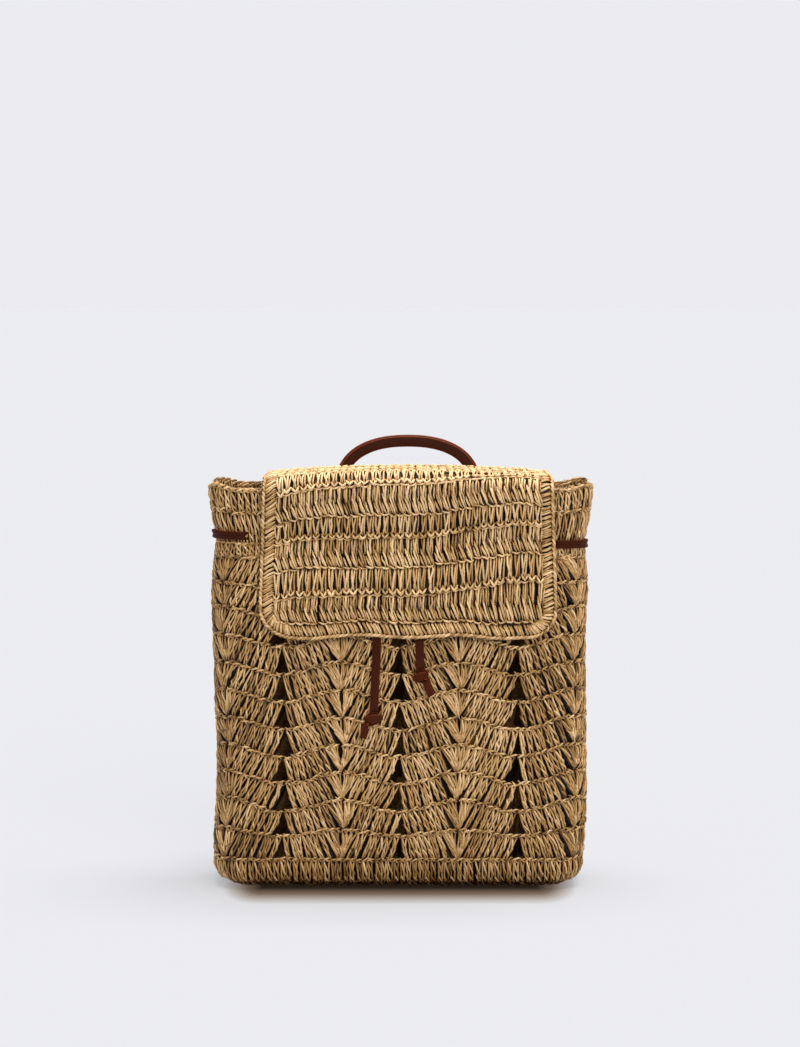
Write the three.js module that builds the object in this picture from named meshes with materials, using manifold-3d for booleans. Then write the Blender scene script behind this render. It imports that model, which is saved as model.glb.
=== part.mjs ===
// A crocheted straw backpack with a leather handle, a drawcord and two shoulder straps.
// Millimetres, +Z up. The front looks along -Y, and +X is to the right as seen from the front.
// The origin is the middle of the base, on the surface that the bag stands on.
import * as THREE from "three";
import { mergeVertices } from "three/addons/utils/BufferGeometryUtils.js";
import Module from "manifold-3d";

const wasm = await Module();
wasm.setup();

// The body
const bodyWidth = 300;
const bodyDepth = 110;
const cornerRadius = 26; // of the body seen from above
const fabric = 3; // thickness of the crocheted straw
const rib = 1; // how far a round of stitches stands proud where the next one grips it
const gap = 0.3; // between pieces that touch
const hemHeight = 25; // plain band at the foot, up to the first openwork round
const footRadius = 20; // of the rounded edge between base and walls
const openworkRows = 11;
const rowHeight = 22.3; // of one openwork round
const neckHeight = 55.7; // plain band above the openwork, up to the rim
const frontCrown = 6; // how far the front and back bulge
const sideCrown = 3; // how far the two ends bulge

// The openwork: fans of stitches, with a pointed gap in each valley between two fans
const repeats = 8; // fans round the bag
const ripple = 10; // how much higher a round runs at a fan than in a valley
const gapWidth = 12;
const gapHeight = 14;
const gapLean = 1.5; // how far the point of a gap sits to the right of its middle
const gapLift = 3; // height of the foot of a gap above its round
const backShift = 24; // how far the repeats are turned at the back, where no gap faces one in front

// The rim
const rimLift = 7; // how much higher the rim stands at the corners
const gathers = 16; // ruffles round the rim
const gatherDepth = 1.6;

// The drawcord, a flat leather lace
const laceWidth = 7;
const laceThickness = 2.2;
const laceDrop = 41.5; // from the rim to the middle of the lace
const laceTilt = 8; // how much lower the lace runs at the right end than at the left
const laceClearance = 0.5; // between the lace and the inside of the wall
const eyeletWidth = 15;
const eyeletHeight = 9;
const eyeletSpare = 2; // of an eyelet's width, left free where the lace crosses it
const knotThickness = 9;

// The flap, crocheted on from the back rim, over the mouth and down the front
const flapLength = 234.5; // along the cloth
const flapTopWidth = 229;
const flapBottomWidth = 243;
const flapShift = 7; // how far the flap sits to the right
const flapCorner = 25; // radius of its two free corners
const flapRise = 7.8; // of the cloth over the rim
const flapCrown = 5; // how much higher its middle lies than its edges, over the mouth
const flapClearance = 4.6; // between the inside of the flap and the ribs of the front
const flapBend = 13; // radius over the front rim
const flapRow = 21.7; // height of one row of stitches
const flapWave = 1.3; // of the soft waves across the front
const waveAcross = 17; // across for one radian of those waves
const waveAlong = 60; // along for one radian of them
const hemWave = 1.8; // how far its lower edge swings up and down
const hemSwing = 13; // across for one radian of that swing
const profileStep = 4; // between the points of its side view, down the front
const edging = 12; // width of the crocheted border

// The handle, folded leather, whose flat ends are sewn to the back
const handleSpan = 121; // across the outside of the arch
const handleRise = 42; // from the springing to the top of the arch
const handleDrop = 3.2; // the arch springs this far below the rim
const handleShift = 7;
const handleWidth = 9.5; // of the folded leather, seen from the front
const handleThickness = 5;
const tabWidth = 20;
const tabThickness = 3;
const tabDrop = 31; // from the rim to the lower end of a tab

// The shoulder straps, flat leather, sewn to the back at both ends
const strapWidth = 22;
const strapThickness = 2.6;
const strapTopSpacing = 54;
const strapBottomSpacing = 232;
const strapTopDrop = 35.2; // from the rim to the upper ends
const strapFoot = 34; // height of the lower ends
const strapSewn = 30; // length that lies on the back at each end
const strapBow = 88; // how far the straps stand out behind the back

// The outline from the floor up: heights as shares of the body's height, the ends as shares of
// its half width, the front and back as shares of its half depth, and the share of the crowns.
const outline = [
  { height: 0.0, left: 0.993, right: 0.985, depth: 0.99, crown: 0.1 },
  { height: 0.06, left: 0.995, right: 0.982, depth: 1.0, crown: 0.3 },
  { height: 0.13, left: 0.988, right: 0.988, depth: 1.0, crown: 0.65 },
  { height: 0.22, left: 0.972, right: 0.992, depth: 1.0, crown: 0.9 },
  { height: 0.34, left: 0.965, right: 0.987, depth: 1.0, crown: 1.0 },
  { height: 0.46, left: 0.975, right: 0.985, depth: 1.0, crown: 1.0 },
  { height: 0.57, left: 0.982, right: 0.983, depth: 0.99, crown: 0.9 },
  { height: 0.66, left: 0.992, right: 0.987, depth: 0.97, crown: 0.75 },
  { height: 0.76, left: 0.997, right: 1.0, depth: 0.93, crown: 0.55 },
  { height: 0.83, left: 0.988, right: 0.992, depth: 0.88, crown: 0.35 },
  { height: 0.87, left: 0.982, right: 0.992, depth: 0.85, crown: 0.2 },
  { height: 0.93, left: 1.004, right: 1.02, depth: 0.86, crown: 0.2 },
  { height: 1.0, left: 1.02, right: 1.035, depth: 0.88, crown: 0.2 },
  { height: 1.03, left: 1.024, right: 1.04, depth: 0.885, crown: 0.2 },
];

// The neck band's rounds: heights as shares of the neck, and the share of the rib there.
const neckRounds = [
  { height: 0.0, rib: 0 },
  { height: 0.2, rib: 1 },
  { height: 0.31, rib: 0 },
  { height: 0.55, rib: 0 },
  { height: 0.65, rib: 1 },
  { height: 0.75, rib: 0 },
  { height: 1.0, rib: 0.6 },
];

// The eyelets of the drawcord, as shares of half the girth from the front middle. The lace
// hangs out of the first one, and from there goes in at one and out at the next, to the back.
const eyelets = [0.093, 0.16, 0.24, 0.322, 0.441, 0.56, 0.685, 0.79, 0.872];

// The two free ends of the lace: run from the front middle, height, and out from the wall's
// middle. Each starts inside its eyelet, comes out, turns down and hangs to its knot.
const leftTail = [
  [-46.0, 285.4, -3.1],
  [-42.5, 285.4, -2.9],
  [-39.5, 285.4, -1.7],
  [-36.5, 285.4, 0.6],
  [-33.5, 285.2, 2.8],
  [-30.8, 284.5, 3.8],
  [-28.2, 283.1, 3.9],
  [-25.9, 281.0, 3.9],
  [-23.9, 278.2, 3.9],
  [-22.3, 274.5, 3.9],
  [-21.1, 269.8, 3.9],
  [-20.4, 263.5, 3.9],
  [-19.9, 254.5, 3.9],
  [-19.2, 243.5, 3.9],
  [-18.7, 229.5, 3.9],
  [-18.4, 214.5, 4.0],
  [-18.6, 199.5, 4.1],
  [-19.2, 184.5, 4.2],
  [-20.0, 170.5, 4.6],
  [-20.6, 157.5, 5.4],
  [-21.0, 147.0, 6.4],
];
const rightTail = [
  [46.0, 283.4, -3.1],
  [42.5, 283.4, -2.9],
  [39.5, 283.4, -1.7],
  [36.5, 283.4, 0.6],
  [33.5, 283.2, 2.8],
  [30.6, 282.4, 3.8],
  [27.8, 280.9, 3.9],
  [25.3, 278.6, 3.9],
  [23.1, 275.5, 3.9],
  [21.3, 271.6, 3.9],
  [19.9, 266.7, 3.9],
  [18.9, 260.5, 3.9],
  [18.1, 252.0, 3.9],
  [17.4, 241.5, 3.9],
  [16.8, 228.5, 3.9],
  [16.5, 214.5, 4.0],
  [16.5, 201.5, 4.4],
  [16.8, 190.5, 5.2],
  [17.2, 181.3, 6.4],
];

// The knots: size across and up, and where the cut end of the lace points below each.
const leftKnot = { width: 17, height: 12, endAcross: -6, endDrop: 12 };
const rightKnot = { width: 14, height: 16, endAcross: 8, endDrop: 10 };

// Sizes that follow from these
const halfWidth = bodyWidth / 2;
const halfDepth = bodyDepth / 2;
const frontRun = 2 * (halfWidth - cornerRadius);
const sideRun = 2 * (halfDepth - cornerRadius);
const cornerRun = (Math.PI / 2) * cornerRadius;
const girth = 2 * (frontRun + sideRun) + 4 * cornerRun;
const repeatRun = girth / repeats;
const openworkTop = hemHeight + openworkRows * rowHeight;
const bodyHeight = openworkTop + neckHeight;
const shiftStart = frontRun / 2 + cornerRun; // the turn starts behind the front corners
const shiftEnd = girth / 2 - frontRun / 3;
const cloth = fabric / 2;
const backMiddle = girth / 2;
const flapStandOff = cloth + rib + flapClearance + cloth; // between the middles of two cloths
const panelInset = edging + gap;

const clamp01 = (t) => Math.min(Math.max(t, 0), 1);
const smooth = (t) => t * t * (3 - 2 * t);
const lerp = (a, b, t) => a + (b - a) * t;
const vec = (x, y, z) => new THREE.Vector3(x, y, z);
const range = (count) => Array.from({ length: count }, (_, i) => i);

// How far out a piece of this thickness lies when it rests on the outside of the wall.
const onWall = (thickness) => cloth + rib + gap + thickness / 2;

// A smooth curve through one column of a table of heights.
function along(rows, column, at) {
  const last = rows.length - 1;
  let i = 0;
  while (i < last - 1 && at > rows[i + 1].height) i++;
  const [before, a, b, after] = [rows[Math.max(i - 1, 0)], rows[i], rows[i + 1], rows[Math.min(i + 2, last)]];
  const span = b.height - a.height;
  const t = clamp01((at - a.height) / span);
  const slopeA = ((b[column] - before[column]) / (b.height - before.height)) * span;
  const slopeB = ((after[column] - a[column]) / (after.height - a.height)) * span;
  const [t2, t3] = [t * t, t * t * t];
  const ends = (2 * t3 - 3 * t2 + 1) * a[column] + (3 * t2 - 2 * t3) * b[column];
  return ends + (t3 - 2 * t2 + t) * slopeA + (t3 - t2) * slopeB;
}

// The rounded rectangle that the body is drawn on, at a distance round it from the front
// middle towards +X, with its outward direction.
function plan(run) {
  const [cx, cy] = [halfWidth - cornerRadius, halfDepth - cornerRadius];
  const arc = (x, y, start, way) => {
    const angle = start + way / cornerRadius;
    const [nx, ny] = [Math.cos(angle), Math.sin(angle)];
    return { x: x + cornerRadius * nx, y: y + cornerRadius * ny, nx, ny };
  };
  const pieces = [
    [frontRun / 2, (way) => ({ x: way, y: -halfDepth, nx: 0, ny: -1 })],
    [cornerRun, (way) => arc(cx, -cy, -Math.PI / 2, way)],
    [sideRun, (way) => ({ x: halfWidth, y: way - cy, nx: 1, ny: 0 })],
    [cornerRun, (way) => arc(cx, cy, 0, way)],
    [frontRun, (way) => ({ x: cx - way, y: halfDepth, nx: 0, ny: 1 })],
    [cornerRun, (way) => arc(-cx, cy, Math.PI / 2, way)],
    [sideRun, (way) => ({ x: -halfWidth, y: cy - way, nx: -1, ny: 0 })],
    [cornerRun, (way) => arc(-cx, -cy, Math.PI, way)],
    [frontRun / 2, (way) => ({ x: way - cx, y: -halfDepth, nx: 0, ny: -1 })],
  ];
  let way = ((run % girth) + girth) % girth;
  for (const [length, place] of pieces) {
    if (way <= length) return place(way);
    way -= length;
  }
  return plan(0);
}

// A point of the body's cloth: a distance round it, a height, and out from its middle.
function wall(run, height, out = 0) {
  const p = plan(run);
  const share = height / bodyHeight;
  const toRight = smooth(clamp01((p.x / halfWidth + 1) / 2));
  const wide = lerp(along(outline, "left", share), along(outline, "right", share), toRight);
  const crown = along(outline, "crown", share);
  const acrossFront = 1 - (p.x / halfWidth) ** 2;
  const acrossSide = 1 - (p.y / halfDepth) ** 2;
  const neck = clamp01((height - openworkTop) / neckHeight);
  // The ruffles die out over the middle of the front and back, under the flap and the straps.
  const ruffle = gatherDepth * neck * smooth(1 - acrossFront);
  const gather = ruffle * Math.cos((2 * Math.PI * gathers * run) / girth);
  return vec(
    p.x * wide + p.nx * (sideCrown * crown * acrossSide + gather + out),
    p.y * along(outline, "depth", share) + p.ny * (frontCrown * crown * acrossFront + gather + out),
    height,
  );
}

// The place round the body of a point of the back, given its x.
const backRun = (x) => backMiddle - x;

// The height of the rim, which stands higher at the four corners.
function rimHeight(run) {
  const p = plan(run);
  const toCorner = smooth(clamp01((Math.abs(p.x) / halfWidth - 0.86) / 0.14));
  return bodyHeight + rimLift * toCorner * (p.y / halfDepth) ** 2;
}

function geometryOf(positions, faces) {
  const geometry = new THREE.BufferGeometry();
  geometry.setAttribute("position", new THREE.Float32BufferAttribute(positions, 3));
  geometry.setIndex(faces);
  return geometry;
}

const numbers = (points) => points.flatMap((p) => [p.x, p.y, p.z]);

// Faces between rings of the same number of points, each ring a row further on.
function band(faces, start, rings, size, closed, flip = false) {
  for (const r of range(rings - 1))
    for (const c of range(closed ? size : size - 1)) {
      const [a, b] = [start + r * size + c, start + r * size + ((c + 1) % size)];
      const [d, e] = [a + size, b + size];
      if (flip) faces.push(a, e, b, a, d, e);
      else faces.push(a, b, e, a, e, d);
    }
}

// Faces that join two rows of points, the first one's outside to the left of its way.
function stitch(faces, first, second, size, closed) {
  for (const c of range(closed ? size : size - 1)) {
    const next = (c + 1) % size;
    faces.push(first + c, second + c, second + next, first + c, second + next, first + next);
  }
}

// A hollow ring of cloth: rings of points up its outside and up its inside, open at both ends.
function tubeOfCloth(outer, inner) {
  const size = outer[0].length;
  const insideAt = outer.length * size;
  const faces = [];
  band(faces, 0, outer.length, size, true);
  band(faces, insideAt, inner.length, size, true, true);
  stitch(faces, 0, insideAt, size, true);
  stitch(faces, insideAt + (inner.length - 1) * size, (outer.length - 1) * size, size, true);
  return geometryOf(numbers([...outer.flat(), ...inner.flat()]), faces);
}

// A tray of cloth: rings from the middle of its foot outwards and up, outside and inside.
function trayOfCloth(outer, inner) {
  const size = outer[0].length;
  const insideAt = outer.length * size;
  const faces = [];
  band(faces, 0, outer.length, size, true);
  band(faces, insideAt, inner.length, size, true, true);
  stitch(faces, insideAt + (inner.length - 1) * size, (outer.length - 1) * size, size, true);
  for (const i of range(size - 2)) {
    faces.push(0, i + 2, i + 1);
    faces.push(insideAt, insideAt + i + 1, insideAt + i + 2);
  }
  return geometryOf(numbers([...outer.flat(), ...inner.flat()]), faces);
}

// A solid through sections that follow one another, each a ring of points that turns to the
// right about the way that the sections go.
function loft(sections) {
  const size = sections[0].length;
  const last = (sections.length - 1) * size;
  const faces = [];
  band(faces, 0, sections.length, size, true, true);
  for (const i of range(size - 2)) {
    faces.push(0, i + 1, i + 2);
    faces.push(last, last + i + 2, last + i + 1);
  }
  return geometryOf(numbers(sections.flat()), faces);
}

// Geometry as a solid that can be cut and joined, and back again.
function solid(geometry) {
  const bare = geometry.clone();
  for (const name of ["normal", "uv"]) bare.deleteAttribute(name);
  const { attributes, index } = mergeVertices(bare, 1e-4);
  return new wasm.Manifold(
    new wasm.Mesh({
      numProp: 3,
      vertProperties: new Float32Array(attributes.position.array),
      triVerts: new Uint32Array(index.array),
    }),
  );
}

function geometryFrom(made) {
  const mesh = made.getMesh();
  return geometryOf(Array.from(mesh.vertProperties), Array.from(mesh.triVerts));
}

// A flat shape pushed through the wall: its x runs round the body, and its y up the wall.
function pushedThrough(corners, run, height) {
  const place = wall(run, height);
  const out = wall(run, height, 1).sub(place).normalize();
  const up = vec(0, 0, 1);
  const right = up.clone().cross(out).normalize();
  const shape = new THREE.Shape(corners.map(([x, y]) => new THREE.Vector2(x, y)));
  const reach = 3 * (fabric + rib);
  const block = new THREE.ExtrudeGeometry(shape, { depth: 2 * reach, bevelEnabled: false });
  block.translate(0, 0, -reach);
  block.applyMatrix4(new THREE.Matrix4().makeBasis(right, up, out).setPosition(place));
  return solid(block);
}

// Distances round the body for the columns of a ring: few on the flats, more at the corners.
function columnsRound(perFront, perSide, perCorner) {
  const runs = [];
  let start = -frontRun / 2;
  const half = [
    [frontRun, perFront],
    [cornerRun, perCorner],
    [sideRun, perSide],
    [cornerRun, perCorner],
  ];
  for (const [length, count] of [...half, ...half]) {
    runs.push(...range(count).map((i) => start + (length * i) / count));
    start += length;
  }
  return runs;
}

// The place in the pattern of repeats at a distance round the body. The two are the same on the
// front, and the pattern is further on at the back.
function patternAt(run) {
  const way = ((run % girth) + girth) % girth;
  const toBack = (Math.min(way, girth - way) - shiftStart) / (shiftEnd - shiftStart);
  return way + backShift * smooth(clamp01(toBack));
}

// The distance round the body of a valley, found by closing in on its place in the pattern.
function valleyRun(valley) {
  let run = valley * repeatRun;
  for (const _ of range(12)) run = valley * repeatRun - (patternAt(run) - run);
  return run;
}

// The height of an openwork round, which dips in the valleys and rises at the fans. The first
// and last rounds are straight, because they meet plain bands.
function roundHeight(row, run) {
  const swing = clamp01(row / 2) * clamp01((openworkRows - row) / 2);
  const turn = (2 * Math.PI * patternAt(run)) / repeatRun;
  return hemHeight + row * rowHeight - (ripple / 2) * swing * Math.cos(turn);
}

// The base: a shallow tray whose rounded edge turns up into the hem.
function basePanel() {
  const runs = columnsRound(8, 2, 4);
  const steps = 3;
  const side = (radius) => {
    const rings = range(steps + 1).map((i) => {
      const angle = ((i / steps) * Math.PI) / 2;
      const out = cloth - footRadius + radius * Math.sin(angle);
      return runs.map((run) => wall(run, footRadius - radius * Math.cos(angle), out));
    });
    rings.push(runs.map((run) => wall(run, hemHeight - gap, cloth - footRadius + radius)));
    return rings;
  };
  return trayOfCloth(side(footRadius), side(footRadius - fabric));
}

// The openwork wall: ribbed rounds that ripple, with a gap cut in every valley of every round.
function openworkWall() {
  const runs = columnsRound(10, 2, 4);
  const outer = [];
  for (const row of range(openworkRows)) {
    outer.push(runs.map((run) => wall(run, roundHeight(row, run), cloth + rib)));
    outer.push(runs.map((run) => wall(run, roundHeight(row + 0.5, run), cloth)));
  }
  outer.push(runs.map((run) => wall(run, openworkTop - gap, cloth)));
  const innerRings = 5;
  const inner = range(innerRings + 1).map((i) => {
    const height = lerp(hemHeight, openworkTop - gap, i / innerRings);
    return runs.map((run) => wall(run, height, -cloth));
  });
  let cloths = solid(tubeOfCloth(outer, inner));
  const corners = [
    [-gapWidth / 2, 0],
    [gapWidth / 2, 0],
    [gapLean, gapHeight],
  ];
  for (const row of range(openworkRows))
    for (const valley of range(repeats)) {
      const run = valleyRun(valley);
      cloths = cloths.subtract(pushedThrough(corners, run, roundHeight(row, run) + gapLift));
    }
  return geometryFrom(cloths);
}

// The height of the middle of the lace, which runs lower at the right end.
const laceHeight = (run) => bodyHeight - laceDrop - (laceTilt / 2) * (plan(run).x / halfWidth);

const neckColumns = columnsRound(8, 4, 4);

// The neck band: plain rounds up to the ruffled rim, with the eyelets for the drawcord.
function neckBand() {
  const runs = neckColumns;
  const foot = openworkTop;
  const ring = (share, out) => runs.map((run) => wall(run, lerp(foot, rimHeight(run), share), out));
  const outer = neckRounds.map((round) => ring(round.height, cloth + rib * round.rib));
  const inner = neckRounds.map((round) => ring(round.height, -cloth));
  let cloths = solid(tubeOfCloth(outer, inner));
  const [x, y] = [eyeletWidth / 2, eyeletHeight / 2];
  const corners = [
    [-x, -y],
    [x, -y],
    [x, y],
    [-x, y],
  ];
  for (const share of eyelets)
    for (const side of [-1, 1]) {
      const run = (side * share * girth) / 2;
      cloths = cloths.subtract(pushedThrough(corners, run, laceHeight(run)));
    }
  return geometryFrom(cloths);
}

// A flat lace along places on the wall, each a run, a height and a distance out. It lies flat
// against the wall, also where it turns down.
function laceAlong(places) {
  const [w, t] = [laceWidth / 2, laceThickness / 2];
  const sections = places.map(([run, height, out], i) => {
    const [before, after] = [places[Math.max(i - 1, 0)], places[Math.min(i + 1, places.length - 1)]];
    const way = new THREE.Vector2(after[0] - before[0], after[1] - before[1]).normalize();
    const corner = (side, face) => wall(run + side * w * way.y, height - side * w * way.x, out + face * t);
    return [corner(-1, -1), corner(1, -1), corner(1, 1), corner(-1, 1)];
  });
  return loft(sections);
}

// The held length of the drawcord: round the neck, in and out through the eyelets.
function drawcordRound() {
  const half = girth / 2;
  const inside = -(cloth + laceClearance + laceThickness / 2);
  const outside = onWall(laceThickness);
  const crossing = eyeletWidth - eyeletSpare;
  // The lace starts inside, next to the first eyelet, whose crossing belongs to the free end.
  const start = Math.abs(rightTail[0][0]) + gap;
  const outAt = (run) => {
    const way = Math.abs(run);
    let out = inside;
    eyelets.slice(1).forEach((share, i) => {
      const t = smooth(clamp01((way - share * half) / crossing + 0.5));
      out += (i % 2 === 0 ? 1 : -1) * t * (outside - inside);
    });
    return out;
  };
  const crossings = eyelets.slice(1).flatMap((share) => range(4).map((i) => share * half + (i / 3 - 0.5) * crossing));
  const between = range(eyelets.length).map((i) => ((eyelets[i] + (eyelets[i + 1] ?? 1)) / 2) * half);
  const corners = neckColumns.filter((way) => Math.abs(plan(way).nx * plan(way).ny) > 0.01);
  const ways = [start, ...crossings, ...between.slice(1), ...corners, half - 1];
  ways.sort((a, b) => a - b);
  const held = ways.filter((way) => way >= start && way < half);
  const stations = held.filter((way, i) => i === 0 || way - held[i - 1] > 1);
  const ring = [...stations, ...stations.map((way) => girth - way).reverse()];
  return laceAlong(ring.map((run) => [run, laceHeight(run), outAt(run > half ? girth - run : run)]));
}

// A knot with the cut end of the lace below it, just under the last place of a free end.
function knot(tail, { width, height, endAcross, endDrop }) {
  const [run, top] = tail[tail.length - 1];
  const middle = wall(run, top - gap - height / 2, onWall(knotThickness));
  const lump = new THREE.SphereGeometry(0.5, 8, 5);
  lump.rotateX(Math.PI / 2);
  lump.scale(width, knotThickness, height);
  lump.translate(middle.x, middle.y, middle.z);
  const far = vec(middle.x + endAcross, middle.y, middle.z - height / 2 - endDrop);
  const way = far.clone().sub(middle).normalize();
  const side = vec(0, 1, 0).cross(way).setLength(laceWidth / 2);
  const thick = vec(0, laceThickness / 2, 0);
  const section = (at) =>
    [
      [1, -1],
      [-1, -1],
      [-1, 1],
      [1, 1],
    ].map(([s, t]) => at.clone().addScaledVector(side, s).addScaledVector(thick, t));
  return geometryFrom(solid(lump).add(solid(loft([section(middle), section(far)]))));
}

// The side view of the flap at one x, as points a short way apart: up from the back rim, over
// the mouth, and down the front.
function flapProfile(x) {
  const middle = 1 - ((x - flapShift) / (flapTopWidth / 2)) ** 2;
  const back = wall(backRun(x), bodyHeight).y;
  const foot = bodyHeight + gap;
  const top = foot + flapRise + flapCrown * middle;
  const front = (height) => {
    const share = height / bodyHeight;
    const crown = frontCrown * along(outline, "crown", share) * (1 - (x / halfWidth) ** 2);
    return -(halfDepth * along(outline, "depth", share) + crown + flapStandOff);
  };
  const turns = range(7).map((i) => ((i / 6) * Math.PI) / 2);
  const rise = top - foot;
  const points = turns.map((a) => [back - rise * (1 - Math.cos(a)), foot + rise * Math.sin(a)]);
  const bendTop = front(top - flapBend) + flapBend;
  points.push(...turns.map((a) => [bendTop - flapBend * Math.sin(a), top - flapBend * (1 - Math.cos(a))]));
  for (let height = top - flapBend - profileStep; height > hemHeight; height -= profileStep)
    points.push([front(height), height]);
  return points;
}

const profiles = new Map();

// The point of a profile at a distance along it.
function alongProfile(x, way) {
  const key = x.toFixed(3);
  if (!profiles.has(key)) profiles.set(key, flapProfile(x));
  const points = profiles.get(key);
  let left = Math.max(way, 0);
  for (let i = 1; i < points.length; i++) {
    const [a, b] = [points[i - 1], points[i]];
    const length = Math.hypot(b[0] - a[0], b[1] - a[1]);
    if (left <= length || i === points.length - 1) {
      const t = left / length;
      return [lerp(a[0], b[0], t), lerp(a[1], b[1], t)];
    }
    left -= length;
  }
}

// A point of the flap: across from its middle line, along from the back rim, and out from the
// middle of its cloth.
function flapPoint(across, way, out = 0) {
  const surface = (a, w) => {
    const low = smooth(clamp01((w / flapLength - 0.75) * 4));
    const x = flapShift + a;
    const [y, z] = alongProfile(x, w + hemWave * low * Math.cos(a / hemSwing));
    const front = smooth(clamp01((w / flapLength - 0.45) * 3));
    return vec(x, y - flapWave * front * Math.cos(a / waveAcross + w / waveAlong), z);
  };
  const here = surface(across, way);
  if (out === 0) return here;
  const overWay = surface(across, way + 0.5).sub(surface(across, way - 0.5));
  const overAcross = surface(across + 0.5, way).sub(surface(across - 0.5, way));
  return here.addScaledVector(overWay.cross(overAcross).normalize(), out);
}

// Half the width of the flap, less an inset, at a distance along it.
const flapHalf = (way, inset) => lerp(flapTopWidth, flapBottomWidth, way / flapLength) / 2 - inset;

const flapColumns = 8;
const cornerTurns = range(5).map((i) => ((i / 4) * Math.PI) / 2);

// The rows down the flap's straight sides: one on each rib and one between two ribs.
const flapRows = (() => {
  const rows = [];
  const end = flapLength - flapCorner - flapRow / 4;
  for (let i = 0; (i * flapRow) / 2 < end; i++) rows.push({ way: (i * flapRow) / 2, rib: i % 2 });
  return rows;
})();

// The flap's panel, inside its border.
function flapPanel() {
  const radius = flapCorner - edging;
  const cornerStart = flapLength - flapCorner;
  const rows = [
    ...flapRows.map(({ way, rib: share }) => ({ way, half: flapHalf(way, panelInset), share })),
    ...cornerTurns.map((turn) => ({
      way: cornerStart + (radius - gap) * Math.sin(turn),
      half: flapHalf(cornerStart, panelInset) - (radius - gap) * (1 - Math.cos(turn)),
      share: 0,
    })),
  ];
  const columns = flapColumns;
  const grid = (out, ribs) =>
    rows.map(({ way, half, share }) =>
      range(columns + 1).map((c) => flapPoint(lerp(-half, half, c / columns), way, out + ribs * share)),
    );
  const [outer, inner] = [grid(cloth, rib), grid(-cloth, 0)];
  const size = columns + 1;
  const count = rows.length;
  const insideAt = count * size;
  const faces = [];
  band(faces, 0, count, size, false, true);
  band(faces, insideAt, count, size, false);
  for (const c of range(columns)) {
    const [a, b] = [c, insideAt + c];
    faces.push(a, b + 1, b, a, a + 1, b + 1);
    const [d, e] = [a + (count - 1) * size, b + (count - 1) * size];
    faces.push(d, e, e + 1, d, e + 1, d + 1);
  }
  for (const r of range(count - 1)) {
    const [a, b] = [r * size, insideAt + r * size];
    faces.push(a, b, b + size, a, b + size, a + size);
    const [d, e] = [a + columns, b + columns];
    faces.push(d, e + size, e, d, d + size, e + size);
  }
  return geometryOf(numbers([...outer.flat(), ...inner.flat()]), faces);
}

// The flap's border, down one side, along the lower edge and up the other side.
function flapEdging() {
  const cornerStart = flapLength - flapCorner;
  const right = [
    ...flapRows.map(({ way }) => [0, edging].map((inset) => [flapHalf(way, inset), way])),
    ...cornerTurns.map((turn) =>
      [flapCorner, flapCorner - edging].map((radius) => [
        flapHalf(cornerStart, flapCorner) + radius * Math.cos(turn),
        cornerStart + radius * Math.sin(turn),
      ]),
    ),
  ];
  const lowHalf = flapHalf(cornerStart, flapCorner);
  const low = range(flapColumns - 1).map((i) => {
    const across = lerp(lowHalf, -lowHalf, (i + 1) / flapColumns);
    return [
      [across, flapLength],
      [across, flapLength - edging],
    ];
  });
  const left = right.map((pair) => pair.map(([across, way]) => [-across, way])).reverse();
  const sections = [...right, ...low, ...left].map(([outer, inner]) => [
    flapPoint(outer[0], outer[1], cloth),
    flapPoint(outer[0], outer[1], -cloth),
    flapPoint(inner[0], inner[1], -cloth),
    flapPoint(inner[0], inner[1], cloth + rib / 2),
  ]);
  return loft(sections);
}

// A flat band with bevelled edges through places, each with a width and a thickness. The
// band's width stays square to the Y axis.
function strapThrough(places) {
  const sections = places.map(({ at, width, thickness }, i) => {
    const next = places[Math.min(i + 1, places.length - 1)].at;
    const way = next.clone().sub(places[Math.max(i - 1, 0)].at).normalize();
    const across = vec(0, 1, 0).cross(way).normalize();
    const through = way.clone().cross(across).normalize();
    const [w, t] = [width / 2, thickness / 2];
    const bevel = Math.min(w, t) * 0.6;
    return [
      [w, t - bevel],
      [w - bevel, t],
      [bevel - w, t],
      [-w, t - bevel],
      [-w, bevel - t],
      [bevel - w, -t],
      [w - bevel, -t],
      [w, bevel - t],
    ].map(([a, b]) => at.clone().addScaledVector(across, a).addScaledVector(through, -b));
  });
  return loft(sections);
}

// The handle: up from one tab, over in a flattened arch, and down to the other tab.
function handle() {
  const spring = bodyHeight - handleDrop;
  const half = (handleSpan - handleWidth) / 2;
  const rise = handleRise - handleWidth / 2;
  const squareness = 2 / 2.3;
  const steps = 18;
  const arch = range(steps + 1).map((i) => {
    const angle = Math.PI * (1 - i / steps);
    const [c, s] = [Math.cos(angle), Math.max(Math.sin(angle), 0)];
    return [Math.sign(c) * half * Math.abs(c) ** squareness, spring + rise * s ** squareness];
  });
  const tab = range(3).map((i) => lerp(bodyHeight - tabDrop, spring, i / 3));
  const line = [
    ...tab.map((height) => [-half, height]),
    ...arch,
    ...tab.map((height) => [half, height]).reverse(),
  ];
  return strapThrough(
    line.map(([x, height]) => {
      const folded = smooth(clamp01((height - spring + handleWidth) / (2 * handleWidth)));
      const thickness = lerp(tabThickness, handleThickness, folded);
      const y = wall(backRun(x + handleShift), Math.min(height, bodyHeight), onWall(thickness)).y;
      return { at: vec(x + handleShift, y, height), width: lerp(tabWidth, handleWidth, folded), thickness };
    }),
  );
}

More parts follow.
